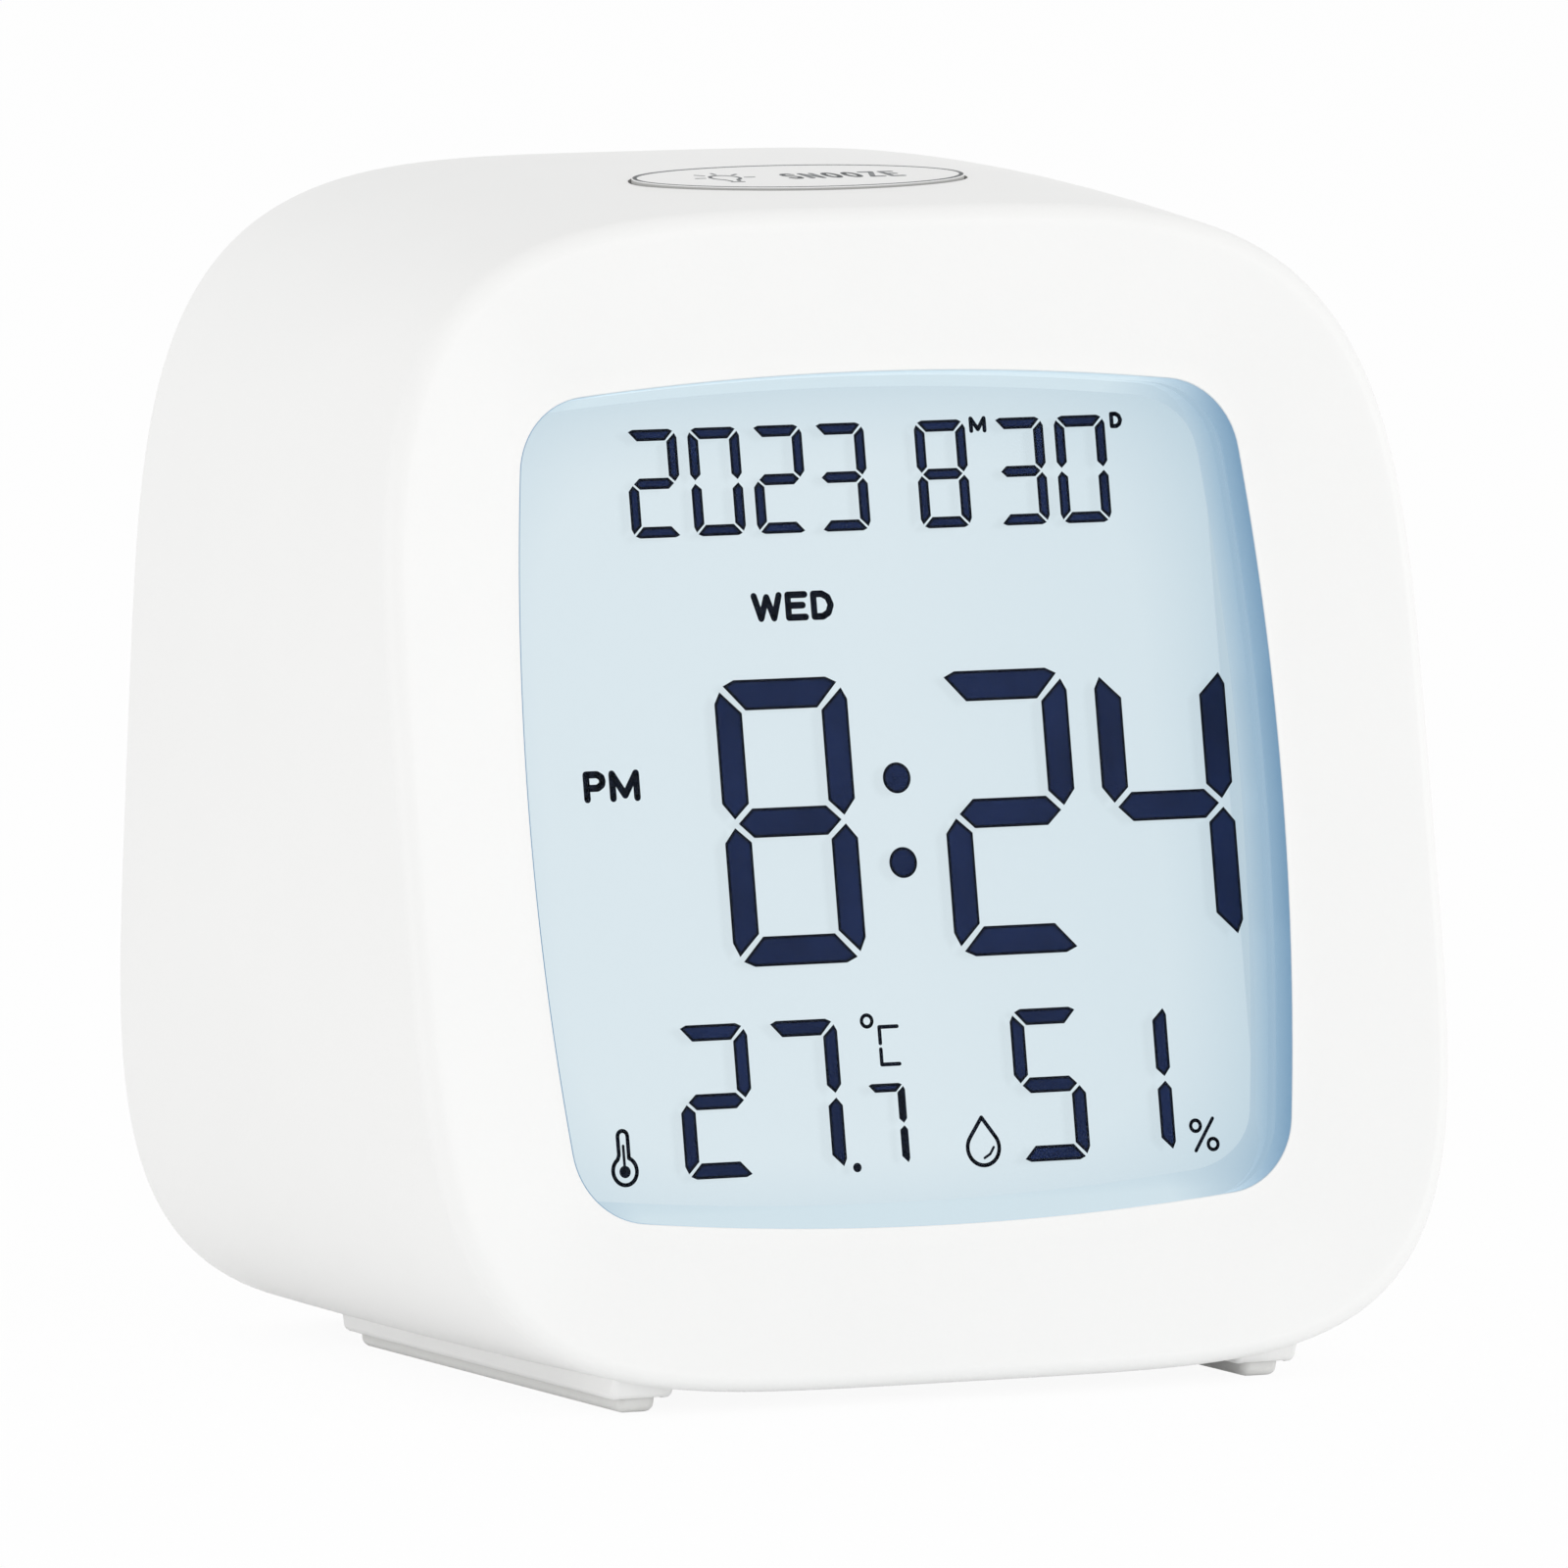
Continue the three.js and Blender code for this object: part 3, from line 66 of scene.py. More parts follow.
def makeCamera():
    az, el = math.radians(cameraView["azimuth"]), math.radians(cameraView["elevation"])
    forward = Vector((math.sin(az) * math.cos(el), math.cos(az) * math.cos(el), -math.sin(el)))
    level = Vector((math.cos(az), -math.sin(az), 0))
    upright = level.cross(forward)
    c, s = math.cos(math.radians(cameraView["roll"])), math.sin(math.radians(cameraView["roll"]))
    right, up = c * level + s * upright, -s * level + c * upright
    middle = tableFrame @ Vector((0, 0, 0))
    place = (middle - cameraView["sideways"] * right - cameraView["upward"] * up
             - cameraView["distance"] * forward) * 0.001
    camera = bpy.data.objects.new("camera", bpy.data.cameras.new("camera"))
    camera.data.lens = cameraView["lens"]
    camera.data.sensor_width = 36
    camera.data.clip_start, camera.data.clip_end = 0.05, 20
    turn = Matrix((right, up, -forward)).transposed().to_4x4()
    camera.matrix_world = Matrix.Translation(place) @ turn
    bpy.context.scene.collection.objects.link(camera)
    bpy.context.scene.camera = camera


makeCamera()
print("camera placed")


# Node groups shared by several materials, with number sockets only
def newGroup(name, inputs, outputs):
    group = bpy.data.node_groups.new(name, "ShaderNodeTree")
    for label, value in inputs.items():
        socket = group.interface.new_socket(label, in_out="INPUT", socket_type="NodeSocketFloat")
        socket.default_value = value
    for label in outputs:
        group.interface.new_socket(label, in_out="OUTPUT", socket_type="NodeSocketFloat")
    return group, group.nodes.new("NodeGroupInput"), group.nodes.new("NodeGroupOutput")


# Inputs by label or number: a socket is linked, anything else is set
def setInputs(tree, node, inputs):
    for label, value in inputs.items():
        if isinstance(value, bpy.types.NodeSocket):
            tree.links.new(value, node.inputs[label])
        else:
            node.inputs[label].default_value = value
    return node


def addNode(tree, kind, inputs=None, **settings):
    node = tree.nodes.new("ShaderNode" + kind)
    for label, value in settings.items():
        setattr(node, label, value)
    return setInputs(tree, node, inputs or {})


def mathNode(tree, operation, first, second=0, clamp=False):
    return addNode(tree, "Math", {0: first, 1: second}, operation=operation, use_clamp=clamp).outputs[0]


# Spark-eroded mould texture: fine bumps and a faint unevenness of tone
def makeMouldTexture():
    group, start, end = newGroup("mouldTexture", {"Grain Scale": 3200, "Tone Scale": 90, "Tone Spread": 0.02},
                                 ("Height", "Tone"))
    where = addNode(group, "TexCoord").outputs["Object"]
    fine = addNode(group, "TexNoise", {"Vector": where, "Scale": start.outputs["Grain Scale"], "Detail": 3,
                                       "Roughness": 0.6})
    cloud = addNode(group, "TexNoise", {"Vector": where, "Scale": start.outputs["Tone Scale"], "Detail": 2})
    swing = mathNode(group, "SUBTRACT", cloud.outputs[0], 0.5)
    swing = mathNode(group, "MULTIPLY", swing, start.outputs["Tone Spread"])
    setInputs(group, end, {"Height": fine.outputs[0], "Tone": mathNode(group, "ADD", swing, 1)})
    return group


# Depth behind the leaning face's rim plane, in millimetres, a mask near the window's outline,
# and the place across and up the window, from -1 to 1
def makeFaceDepth():
    group, start, end = newGroup("faceDepth", {"Edge Start": 0.7, "Edge Power": 6},
                                 ("Depth", "Edge", "Across", "Upward"))
    where = addNode(group, "TexCoord").outputs["Object"]
    middle = (0, caseShape["toMiddle"] / 1000, caseShape["toTable"] / 1000)
    turned = addNode(group, "Mapping", {"Vector": where, "Location": middle, "Rotation": (-lean, 0, 0)},
                     vector_type="TEXTURE")
    split = addNode(group, "SeparateXYZ", {0: turned.outputs[0]}).outputs
    depth = mathNode(group, "MULTIPLY", split["Y"], 1000)
    across = mathNode(group, "MULTIPLY", split["X"], 2000 / windowShape["width"])
    upward = mathNode(group, "MULTIPLY", split["Z"], 2000 / windowShape["height"])
    wide, tall = [mathNode(group, "POWER", mathNode(group, "ABSOLUTE", value), start.outputs["Edge Power"])
                  for value in (across, upward)]
    edge = mathNode(group, "SUBTRACT", mathNode(group, "ADD", wide, tall), start.outputs["Edge Start"],
                    clamp=True)
    setInputs(group, end, {"Depth": depth, "Edge": edge, "Across": across, "Upward": upward})
    return group


mouldTexture = makeMouldTexture()
faceDepth = makeFaceDepth()


def hexColor(text):
    parts = [int(text[i:i + 2], 16) / 255 for i in (0, 2, 4)]
    return (*[p / 12.92 if p <= 0.04045 else ((p + 0.055) / 1.055) ** 2.4 for p in parts], 1)


def newMaterial(name):
    made = bpy.data.materials.new(name)
    made.use_nodes = True
    return made, made.node_tree, made.node_tree.nodes["Principled BSDF"]


# A finish whose colour carries the faint tone of the texture and whose bumps come from its grain
def grainedFinish(name, color, roughness, metallic=0, grainScale=3200, grainDepth=0.00001,
                  toneScale=90, toneSpread=0.02):
    made, tree, shader = newMaterial(name)
    texture = addNode(tree, "Group", {"Grain Scale": grainScale, "Tone Scale": toneScale,
                                      "Tone Spread": toneSpread}, node_tree=mouldTexture)
    tint = addNode(tree, "Mix", {0: 1, 6: hexColor(color), 7: texture.outputs["Tone"]},
                   data_type="RGBA", blend_type="MULTIPLY")
    bump = addNode(tree, "Bump", {"Strength": 1, "Distance": grainDepth, "Height": texture.outputs["Height"]})
    setInputs(tree, shader, {"Base Color": tint.outputs[2], "Roughness": roughness, "Metallic": metallic,
                             "Normal": bump.outputs[0]})
    return made


def mixColors(tree, share, first, second):
    first, second = [hexColor(color) if isinstance(color, str) else color for color in (first, second)]
    return addNode(tree, "Mix", {0: share, 6: first, 7: second}, data_type="RGBA").outputs[2]


whitePlastic = grainedFinish("whitePlastic", "F4F4F3", 0.5, grainDepth=0.000012)
keyPlastic = grainedFinish("keyPlastic", "F1F1F0", 0.45, grainDepth=0.000006)
softWhite = grainedFinish("softWhite", "EDEDEB", 0.75, grainDepth=0.000008)
innerPlastic = grainedFinish("innerPlastic", "D8DEE2", 0.5)
legendGrey = grainedFinish("legendGrey", "7E8183", 0.6)
blackResin = grainedFinish("blackResin", "17181A", 0.45)
boardGreen = grainedFinish("boardGreen", "2C6B45", 0.35, toneScale=400, toneSpread=0.5)
steel = grainedFinish("steel", "B4B7BB", 0.3, metallic=1, grainScale=6000, grainDepth=0.000004)
nickel = grainedFinish("nickel", "C9C7BF", 0.22, metallic=1, grainScale=6000, grainDepth=0.000003)
lampWhite = grainedFinish("lampWhite", "F3F0D2", 0.3)
# Painted shade for the gap around the top key, on the hole's walls and the cap's sides
gapShade = grainedFinish("gapShade", "BEBEBC", 0.7)
milkyAcrylic = grainedFinish("milkyAcrylic", "DCECF4", 0.25)
whiteFoil = grainedFinish("whiteFoil", "F6F6F6", 0.3)


# Clear sheets: see-through from the front, with more gloss towards a grazing view
def clearFinish(name, color, alpha, roughness, grazing=None):
    made = grainedFinish(name, color, roughness, grainDepth=0.0000005, toneSpread=0.01)
    tree = made.node_tree
    shader = setInputs(tree, tree.nodes["Principled BSDF"], {"Alpha": alpha})
    if grazing:
        facing = addNode(tree, "LayerWeight", {"Blend": 0.25}).outputs["Fresnel"]
        share = addNode(tree, "MapRange", {"Value": facing, "From Min": 0.05, "To Min": alpha,
                                           "To Max": grazing})
        setInputs(tree, shader, {"Alpha": share.outputs[0]})
    return made


lensClear = clearFinish("lensClear", "C9DEEA", 0.004, 0.06, grazing=0.4)
sheetClear = clearFinish("sheetClear", "C9DEEA", 0.002, 0.1)


# Walls of the well behind the lens, with painted shade and painted light: bluer and darker towards the front,
# pale along the top and bottom, and glowing though they are no lamp
paintedWellTones = {"front": "7398B7", "middle": "98B7CE", "back": "BED2DE", "endFront": "C3D8E4", "end": "D3E4EC",
             "depths": (2.5, 5.5, 9.5)}
glow = {"strength": 0.95, "body": ("1C2022", "24292C")}


def stepShare(tree, value, start, end):
    return addNode(tree, "MapRange", {"Value": value, "From Min": start, "From Max": end}).outputs[0]


# A glowing finish over a dark body, so that room light hardly changes it. The well's walls and the segments'
# shadows use it as painted light and shade
def glowFinish(tree, made, shader, color, roughness, dim=1):
    texture = addNode(tree, "Group", node_tree=mouldTexture)
    setInputs(tree, shader, {
        "Base Color": mixColors(tree, texture.outputs["Height"], *glow["body"]), "Roughness": roughness,
        "Specular IOR Level": 0.1, "Emission Color": color, "Emission Strength": glow["strength"] * dim})
    made.cycles.emission_sampling = "NONE"
    return made


def paintedWellShadeFinish():
    made, tree, shader = newMaterial("paintedWellShade")
    place = addNode(tree, "Group", node_tree=faceDepth).outputs
    first, second, third = paintedWellTones["depths"]
    deep = place["Depth"]
    near = mixColors(tree, stepShare(tree, deep, first, second), paintedWellTones["front"], paintedWellTones["middle"])
    side = mixColors(tree, stepShare(tree, deep, second, third), near, paintedWellTones["back"])
    # Painted light: paler tones along the top and bottom walls
    ends = mixColors(tree, stepShare(tree, deep, first, first + 2), paintedWellTones["endFront"], paintedWellTones["end"])
    across, upward = [mathNode(tree, "ABSOLUTE", place[way]) for way in ("Across", "Upward")]
    share = mathNode(tree, "MULTIPLY", stepShare(tree, upward, 0.8, 0.94), stepShare(tree, across, 0.96, 0.7))
    return glowFinish(tree, made, shader, mixColors(tree, share, side, ends), 0.4)


paintedWellShade = paintedWellShadeFinish()


# The lit layer behind the liquid crystal: paler at the left, with a soft blue edge of painted shade all round
litTones = {"left": "DEEBF1", "right": "D8E7EE", "edge": "C4D8E3", "edgeStart": 0.35, "edgePower": 5}


def litFinish(name, dim=1):
    made, tree, shader = newMaterial(name)
    place = addNode(tree, "Group", node_tree=faceDepth)
    setInputs(tree, place, {"Edge Start": litTones["edgeStart"], "Edge Power": litTones["edgePower"]})
    inner = mixColors(tree, stepShare(tree, place.outputs["Across"], 0.1, 1),
                      litTones["left"], litTones["right"])
    # Painted shade: bluer and darker near the window's edge
    color = mixColors(tree, place.outputs["Edge"], inner, litTones["edge"])
    return glowFinish(tree, made, shader, color, 0.8, dim)


litLayer = litFinish("litLayer")
# Darker copies of the lit layer, for the segments' painted shadows
litShades = [litFinish("litShade" + str(step + 1), dim) for step, dim in enumerate((0.985, 0.965, 0.945))]
segmentDark = grainedFinish("segmentDark", "080D1B", 0.6, toneSpread=0.2)
segmentNavy = grainedFinish("segmentNavy", "1A2649", 0.6, toneScale=140, toneSpread=1.1)
for ink in (segmentDark, segmentNavy):
    ink.node_tree.nodes["Principled BSDF"].inputs["Specular IOR Level"].default_value = 0.05
print("materials made")


# Mesh helpers: smooth faces with sharp edges from an angle in degrees
def smoothMesh(mesh, sharp=32):
    mesh.shade_smooth()
    mesh.set_sharp_from_angle(angle=math.radians(sharp))


def makePiece(name, points, faces, finishes, body, place=None, sharp=32):
    mesh = bpy.data.meshes.new(name)
    mesh.from_pydata([(place @ Vector(p) if place else Vector(p)) * 0.001 for p in points], [], faces)
    work = bmesh.new()
    work.from_mesh(mesh)
    bmesh.ops.recalc_face_normals(work, faces=work.faces)
    work.to_mesh(mesh)
    work.free()
    piece = bpy.data.objects.new(name, mesh)
    bpy.context.scene.collection.objects.link(piece)
    for finish in finishes:
        mesh.materials.append(finish)
    smoothMesh(mesh, sharp)
    if body:
        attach(piece, body)
    return piece


# Plain block between two corners, for cuts
def makeBlock(name, low, high, place, finish):
    points = [(x, y, z) for x in (low[0], high[0]) for y in (low[1], high[1]) for z in (low[2], high[2])]
    faces = [(0, 1, 3, 2), (4, 6, 7, 5), (0, 4, 5, 1), (2, 3, 7, 6), (0, 2, 6, 4), (1, 5, 7, 3)]
    return makePiece(name, points, faces, [finish], None, place)


# Skin through rings of equal count; closed joins the last ring to the first, else both ends are capped
def skinPiece(name, rings, finishes, body=None, place=None, closed=False, sharp=32):
    count = len(rings[0])
    points = [p for ring in rings for p in ring]
    faces = []
    for r in range(len(rings) if closed else len(rings) - 1):
        a, b = r * count, ((r + 1) % len(rings)) * count
        for i in range(count):
            j = (i + 1) % count
            faces.append((a + i, a + j, b + j, b + i))
    if not closed:
        faces += [tuple(range(count)), tuple(range(len(points) - count, len(points)))]
    return makePiece(name, points, faces, finishes, body, place, sharp)


# Skin through flat outlines, each with its place along y, or up z with flat=True
def platePiece(name, rings, finishes, body=None, place=None, flat=False):
    return skinPiece(name, [[(x, z, at) if flat else (x, at, z) for x, z in ring] for ring, at in rings],
                     finishes, body, place)


# Gives faces the piece's second finish
def paintFaces(piece, indices):
    for i in indices:
        piece.data.polygons[i].material_index = 1


def carve(piece, cutters, operation="DIFFERENCE"):
    for cutter in cutters:
        step = piece.modifiers.new("carve", "BOOLEAN")
        step.operation = operation
        step.solver = "EXACT"
        step.material_mode = "TRANSFER"
        step.object = cutter
    bpy.context.view_layer.update()
    ready = piece.evaluated_get(bpy.context.evaluated_depsgraph_get())
    mesh = bpy.data.meshes.new_from_object(ready)
    piece.modifiers.clear()
    piece.data = mesh
    smoothMesh(mesh)
    for cutter in cutters:
        bpy.data.objects.remove(cutter)


def evenNormals(piece):
    step = piece.modifiers.new("evenNormals", "WEIGHTED_NORMAL")
    step.keep_sharp = True


# The window's outline: four wide arcs and round corners, grown by a margin
def windowOutline(margin, sideSteps=24, cornerSteps=16):
    w = windowShape
    a, b = w["width"] / 2, w["height"] / 2
    sideX, sideR = a - w["sideArc"], w["sideArc"] + margin
    topZ, topR = b - w["topArc"], w["topArc"] + margin
    r1, r2 = w["sideArc"] - w["corner"], w["topArc"] - w["corner"]
    apart = math.hypot(sideX, topZ)
    along = (r1 * r1 - r2 * r2 + apart * apart) / (2 * apart)
    off = math.sqrt(r1 * r1 - along * along)
    ux, uz = -sideX / apart, topZ / apart
    cx, cz = sideX + along * ux - off * uz, along * uz + off * ux
    sideEnd, topStart = math.atan2(cz, cx - sideX), math.atan2(cz - topZ, cx)
    quarter = []
    for i in range(sideSteps):
        t = sideEnd * i / sideSteps
        quarter.append((sideX + sideR * math.cos(t), sideR * math.sin(t)))
    for i in range(cornerSteps):
        t = sideEnd + (topStart - sideEnd) * i / cornerSteps
        quarter.append((cx + (w["corner"] + margin) * math.cos(t), cz + (w["corner"] + margin) * math.sin(t)))
    for i in range(sideSteps):
        t = topStart + (math.pi / 2 - topStart) * i / sideSteps
        quarter.append((topR * math.cos(t), topZ + topR * math.sin(t)))
    mirrored = list(reversed(quarter[1:] + [(0, b + margin)]))
    return ([(x, z) for x, z in quarter] + [(-x, z) for x, z in mirrored]
            + [(-x, -z) for x, z in quarter] + [(x, -z) for x, z in mirrored])


directions = [math.atan2(z, x) for x, z in windowOutline(0)]


# Pillow outline of the case at its front or its rear, drawn in by an inset
def caseOutline(end, inset):
    width, height = caseShape[end + "Width"] - 2 * inset, caseShape[end + "Height"] - 2 * inset
    ring = []
    for t in directions:
        power = caseShape[end + "Powers"][0 if math.sin(t) > 0 else 1]
        reach = (abs(math.cos(t) / (width / 2)) ** power
                 + abs(math.sin(t) / (height / 2)) ** power) ** (-1 / power)
        ring.append((reach * math.cos(t), reach * math.sin(t)))
    return ring


def onFace(outline, depth, level=False):
    rise = depth * math.tan(lean) if level else 0
    return [faceFrame @ Vector((x, depth, z + rise)) for x, z in outline]


def onRear(outline, before):
    return [rearFrame @ Vector((x, -before, z)) for x, z in outline]


def between(first, second, share):
    return [a.lerp(b, share) for a, b in zip(first, second)]


# Ring of the sides between the front and the rear, pushed outwards halfway except underneath,
# and less at the two upper corners
def sideRing(first, second, share):
    ring = []
    middle = tableFrame @ Vector((0, 0, caseShape["rearRise"] * share))
    for point in between(first, second, share):
        away = Vector((point.x, 0, point.z - middle.z))
        under = max(0, -away.z / away.length)
        corner = (2 * abs(away.x) * max(0, away.z) / away.length_squared) ** 4
        swell = 4 * share * (1 - share) * caseShape["bulge"] * (1 - under * under)
        swell *= 1 - caseShape["cornerEase"] * corner
        ring.append(point + away.normalized() * swell)
    return ring


def ovalOutline(width, height, x=0, z=0, count=96):
    turns = [i / count * math.tau for i in range(count)]
    return [(x + width / 2 * math.cos(t), z + height / 2 * math.sin(t)) for t in turns]


def disc(x, z, radius, count=32):
    return ovalOutline(2 * radius, 2 * radius, x, z, count)


def roundedOutline(width, height, radius, x=0, z=0, steps=10):
    outline = []
    for turn, (sx, sz) in enumerate(((1, 1), (-1, 1), (-1, -1), (1, -1))):
        for i in range(steps + 1):
            t = (turn + i / steps) * math.pi / 2
            outline.append((x + sx * (width / 2 - radius) + radius * math.cos(t),
                            z + sz * (height / 2 - radius) + radius * math.sin(t)))
    return outline


def shrink(outline, by):
    middleX = (min(p[0] for p in outline) + max(p[0] for p in outline)) / 2
    middleZ = (min(p[1] for p in outline) + max(p[1] for p in outline)) / 2
    halfX = max(p[0] for p in outline) - middleX
    halfZ = max(p[1] for p in outline) - middleZ
    return [(middleX + (x - middleX) * (halfX - by) / halfX, middleZ + (z - middleZ) * (halfZ - by) / halfZ)
            for x, z in outline]


# Steps of a quarter round: how far in, and how far back, in shares of its radius
def quarterRound(count):
    turns = [i / count * math.pi / 2 for i in range(count + 1)]
    return [(1 - math.cos(t), 1 - math.sin(t)) for t in turns]


# Outlines of a rounded outer edge, with their places
def roundedEdge(outline, high, edge, count):
    return [(shrink(outline, edge * inward), high - edge * back) for inward, back in quarterRound(count)]


# Top key, whose hole is in the housing
topKeyShape = {"width": 25, "depth": 10.4, "gap": 0.25, "edge": 0.06, "flange": 1.8, "flangeTop": -2.589,
               "flangeLow": -3.589, "hole": (-4, 3), "legendLow": -1.3, "legendHeight": 2.4, "wordLeft": -1.2,
               "signMiddle": -5.6, "bulbRadius": 1.05, "signLines": (0.26, 0.28, 0.24), "ringInset": 0.15,
               "ringLine": 0.3, "print": (0.002, 0.01)}


# Closed profile of the housing's wall, from the window out over the rim, back and in again
def caseRings():
    s = caseShape
    rim, rear, dish = s["rimRadius"], s["rearRadius"], s["dish"]
    inside = dish + s["wall"]
    rings = [onFace(windowOutline(0), inside)]
    fillet = s["windowFillet"]
    rings += [onFace(windowOutline(fillet * outward), dish + fillet * back)
              for outward, back in quarterRound(4)]
    start = onFace(windowOutline(s["dishStart"]), dish)
    end = onFace(caseOutline("front", rim), 0)
    rings += [between(start, end, share) for share in (0, 0.1, 0.3, 0.5, 0.7, 0.85, 0.95)]
    rings += [onFace(caseOutline("front", rim * inward), rim * back, True) for back, inward in quarterRound(8)]
    rearEdge = [onRear(caseOutline("rear", rear * inward), rear * before) for inward, before in quarterRound(6)]
    front = rings[-1]
    rings += [sideRing(front, rearEdge[0], i / 8) for i in range(1, 8)]
    rings += rearEdge
    step, deep = s["coverStep"], s["coverDepth"]
    for inward, before in ((step, 0), (step, deep), (s["wall"], deep)):
        rings.append(onRear(caseOutline("rear", inward), before))
    rings.append(onFace(caseOutline("front", s["wall"]), inside, True))
    return [[Vector((p.x, p.y * s["shy"], p.z)) for p in ring] for ring in rings]


# Rails: a moulded rib, and a soft strip seated in it
ribShape = {"span": 47.6, "width": 4.7, "front": -6.186, "back": 36.537, "inset": 0, "slope": 0.35, "low": 1,
            "high": 4, "edge": 0.45}
stripShape = {"width": 2.8, "inset": 1.44, "slope": 0.17, "low": 0, "high": 2.1, "edge": 0.6, "seatDepth": 1.4,
              "seatGap": 0.25}
tableLow = -caseShape["toTable"]


def ribBar(name, side, shape, finishes, body=None):
    low, high, half = shape["low"], shape["high"], shape["width"] / 2
    run = shape["slope"] * (high - low)
    middle = side * ribShape["span"] / 2
    front, back = ribShape["front"] + shape["inset"], ribShape["back"] - shape["inset"]
    outline = [(front + run, low), (back - run, low), (back, high), (front, high)]
    points = [(middle + s * half, y, tableLow + z) for s in (-1, 1) for y, z in outline]
    faces = [(0, 1, 2, 3), (7, 6, 5, 4)] + [(i, (i + 1) % 4, (i + 1) % 4 + 4, i + 4) for i in range(4)]
    piece = makePiece(name, points, faces, finishes, body, tableFrame)
    work = bmesh.new()
    work.from_mesh(piece.data)
    lower = [e for e in work.edges if min(v.co.z for v in e.verts) < max(v.co.z for v in work.verts) - 0.0001
             or abs(e.verts[0].co.z - e.verts[1].co.z) > 0.0001]
    bmesh.ops.bevel(work, geom=lower, offset=shape["edge"] * 0.001, segments=4, profile=0.5, affect="EDGES")
    bmesh.ops.recalc_face_normals(work, faces=work.faces)
    work.to_mesh(piece.data)
    work.free()
    smoothMesh(piece.data, 40)
    return piece


def makeHousing():
    shell = skinPiece("caseShell", caseRings(), [whitePlastic], "case", closed=True)
    r, t = ribShape, stripShape
    ribs = [ribBar("rib", side, ribShape, [whitePlastic]) for side in (-1, 1)]
    carve(shell, ribs, "UNION")
    k = topKeyShape
    oval = ovalOutline(k["width"] + 2 * k["gap"], k["depth"] + 2 * k["gap"])
    # The hole's walls take the painted gap shade
    hole = platePiece("hole", [(oval, at) for at in k["hole"]], [gapShade], place=crownFrame, flat=True)
    seats = []
    for side in (-1, 1):
        middle, half = side * r["span"] / 2, t["width"] / 2 + t["seatGap"]
        front, back = r["front"] + t["inset"] - t["seatGap"], r["back"] - t["inset"] + t["seatGap"]
        seats.append(makeBlock("seat", (middle - half, front, tableLow - 1),
                               (middle + half, back, tableLow + r["low"] + t["seatDepth"]), tableFrame,
                               whitePlastic))
    carve(shell, [hole, *seats])
    evenNormals(shell)
    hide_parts("housing")


makeHousing()
for side, node in ((-1, "foot_strip_left"), (1, "foot_strip_right")):
    strip = ribBar("footStrip." + ("left" if side < 0 else "right"), side, stripShape, [softWhite], "case")
    evenNormals(strip)
    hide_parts(node)
print("housing and foot strips made")


# Window lens: a flush boss with blue side walls in the well's painted shade, and a flange behind the wall
lensShape = {"gap": 0.03, "flange": 2.4, "flangeFront": 4.8, "flangeBack": 5.8, "edge": 0.05}


def makeLens():
    s, front = lensShape, caseShape["dish"]
    rings = [onFace(windowOutline(-s["gap"] - s["edge"] * inward), front + s["edge"] * back)
             for back, inward in quarterRound(3)]
    walls = len(rings)
    rings += [onFace(windowOutline(margin), depth) for margin, depth in
              ((-s["gap"], s["flangeFront"]), (s["flange"], s["flangeFront"]), (s["flange"], s["flangeBack"]))]
    lens = skinPiece("windowLens", rings, [lensClear, paintedWellShade], "case")
    count = len(rings[0])
    # The side walls take the well's painted shade
    paintFaces(lens, range((walls - 1) * count, (walls + 2) * count))
    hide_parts("window_lens")


makeLens()


# Funnel between the lens and the display, part of the display frame
wellShape = {"front": 5.9, "back": 8.4, "frontMargin": 0.5, "sideMargin": 0, "backMargin": -1.2,
             "backRise": 0.75, "outer": 1.6}


def makeWell():
    s = wellShape
    outer = windowOutline(s["outer"])
    back = [(wide[0], tall[1] + s["backRise"]) for wide, tall in
            zip(windowOutline(s["sideMargin"]), windowOutline(s["backMargin"]))]
    rings = [onFace(back, s["back"]), onFace(windowOutline(s["frontMargin"]), s["front"]),
             onFace(outer, s["front"]), onFace(outer, s["back"])]
    skinPiece("displayWell", rings, [paintedWellShade], "case", closed=True)


# Liquid crystal cell: front polariser and two glasses bonded together, with a printed lower border in the
# well's painted shade
stackShape = {"front": 8.7, "glass": 9, "layer": (9.8, 9.85), "back": 10.65, "width": 59.8, "height": 61.1,
              "ledge": 2.6, "border": 0.8, "print": (0.3, 0.9)}


def makeDisplayCell():
    s = stackShape
    half, top = s["width"] / 2, s["height"] / 2
    border, ledge, glass, (layerFront, layerBack) = s["border"], s["ledge"], s["glass"], s["layer"]
    steps = ((s["front"], border, border), (glass, border, border), (glass, 0, 0), (layerFront, 0, 0),
             (layerBack, 0, ledge), (s["back"], 0, ledge), (s["back"], s["print"][0], ledge + s["print"][1]))
    rings = [onFace([(half - side, top - side), (side - half, top - side), (side - half, low - top),
                     (half - side, low - top)], depth) for depth, side, low in steps]
    cell = skinPiece("displayCell", rings, [sheetClear, paintedWellShade], "case", sharp=5)
    paintFaces(cell, [step * 4 + 2 for step in (3, 4, 5)])  # the printed border
    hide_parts("front_polariser", "lcd_front_glass", "lcd_rear_glass")


makeWell()
makeDisplayCell()
print("lens, well and display cell made")


# Display segments: x across the face, z up it, as read on the liquid crystal's plane. They are drawn
# just behind the cell's front, moved along the line of sight, so that the frame never cuts them off.
# Each kind of mark has its depth and thickness. The shade marks are the segments' painted shadows on the lit
# layer
displayPlan = {"segment": (8.725, 0.02), "core": (8.718, 0.002), "segmentShift": (-0.565, -0.083),
               "shade": (10.66, 0.006), "shadeStep": 0.012, "shadeShift": (-0.4, -0.12), "shadeGrow": 0.14,
               "coreInset": 0.2, "smallestCore": 0.7}
bigDigit = {"width": 10.13, "height": 19.5}
dateDigit = {"width": 3.93, "height": 7.39}
lowDigit = {"width": 5.44, "height": 10.45}
tenthDigit = {"width": 2.97, "height": 5.63}

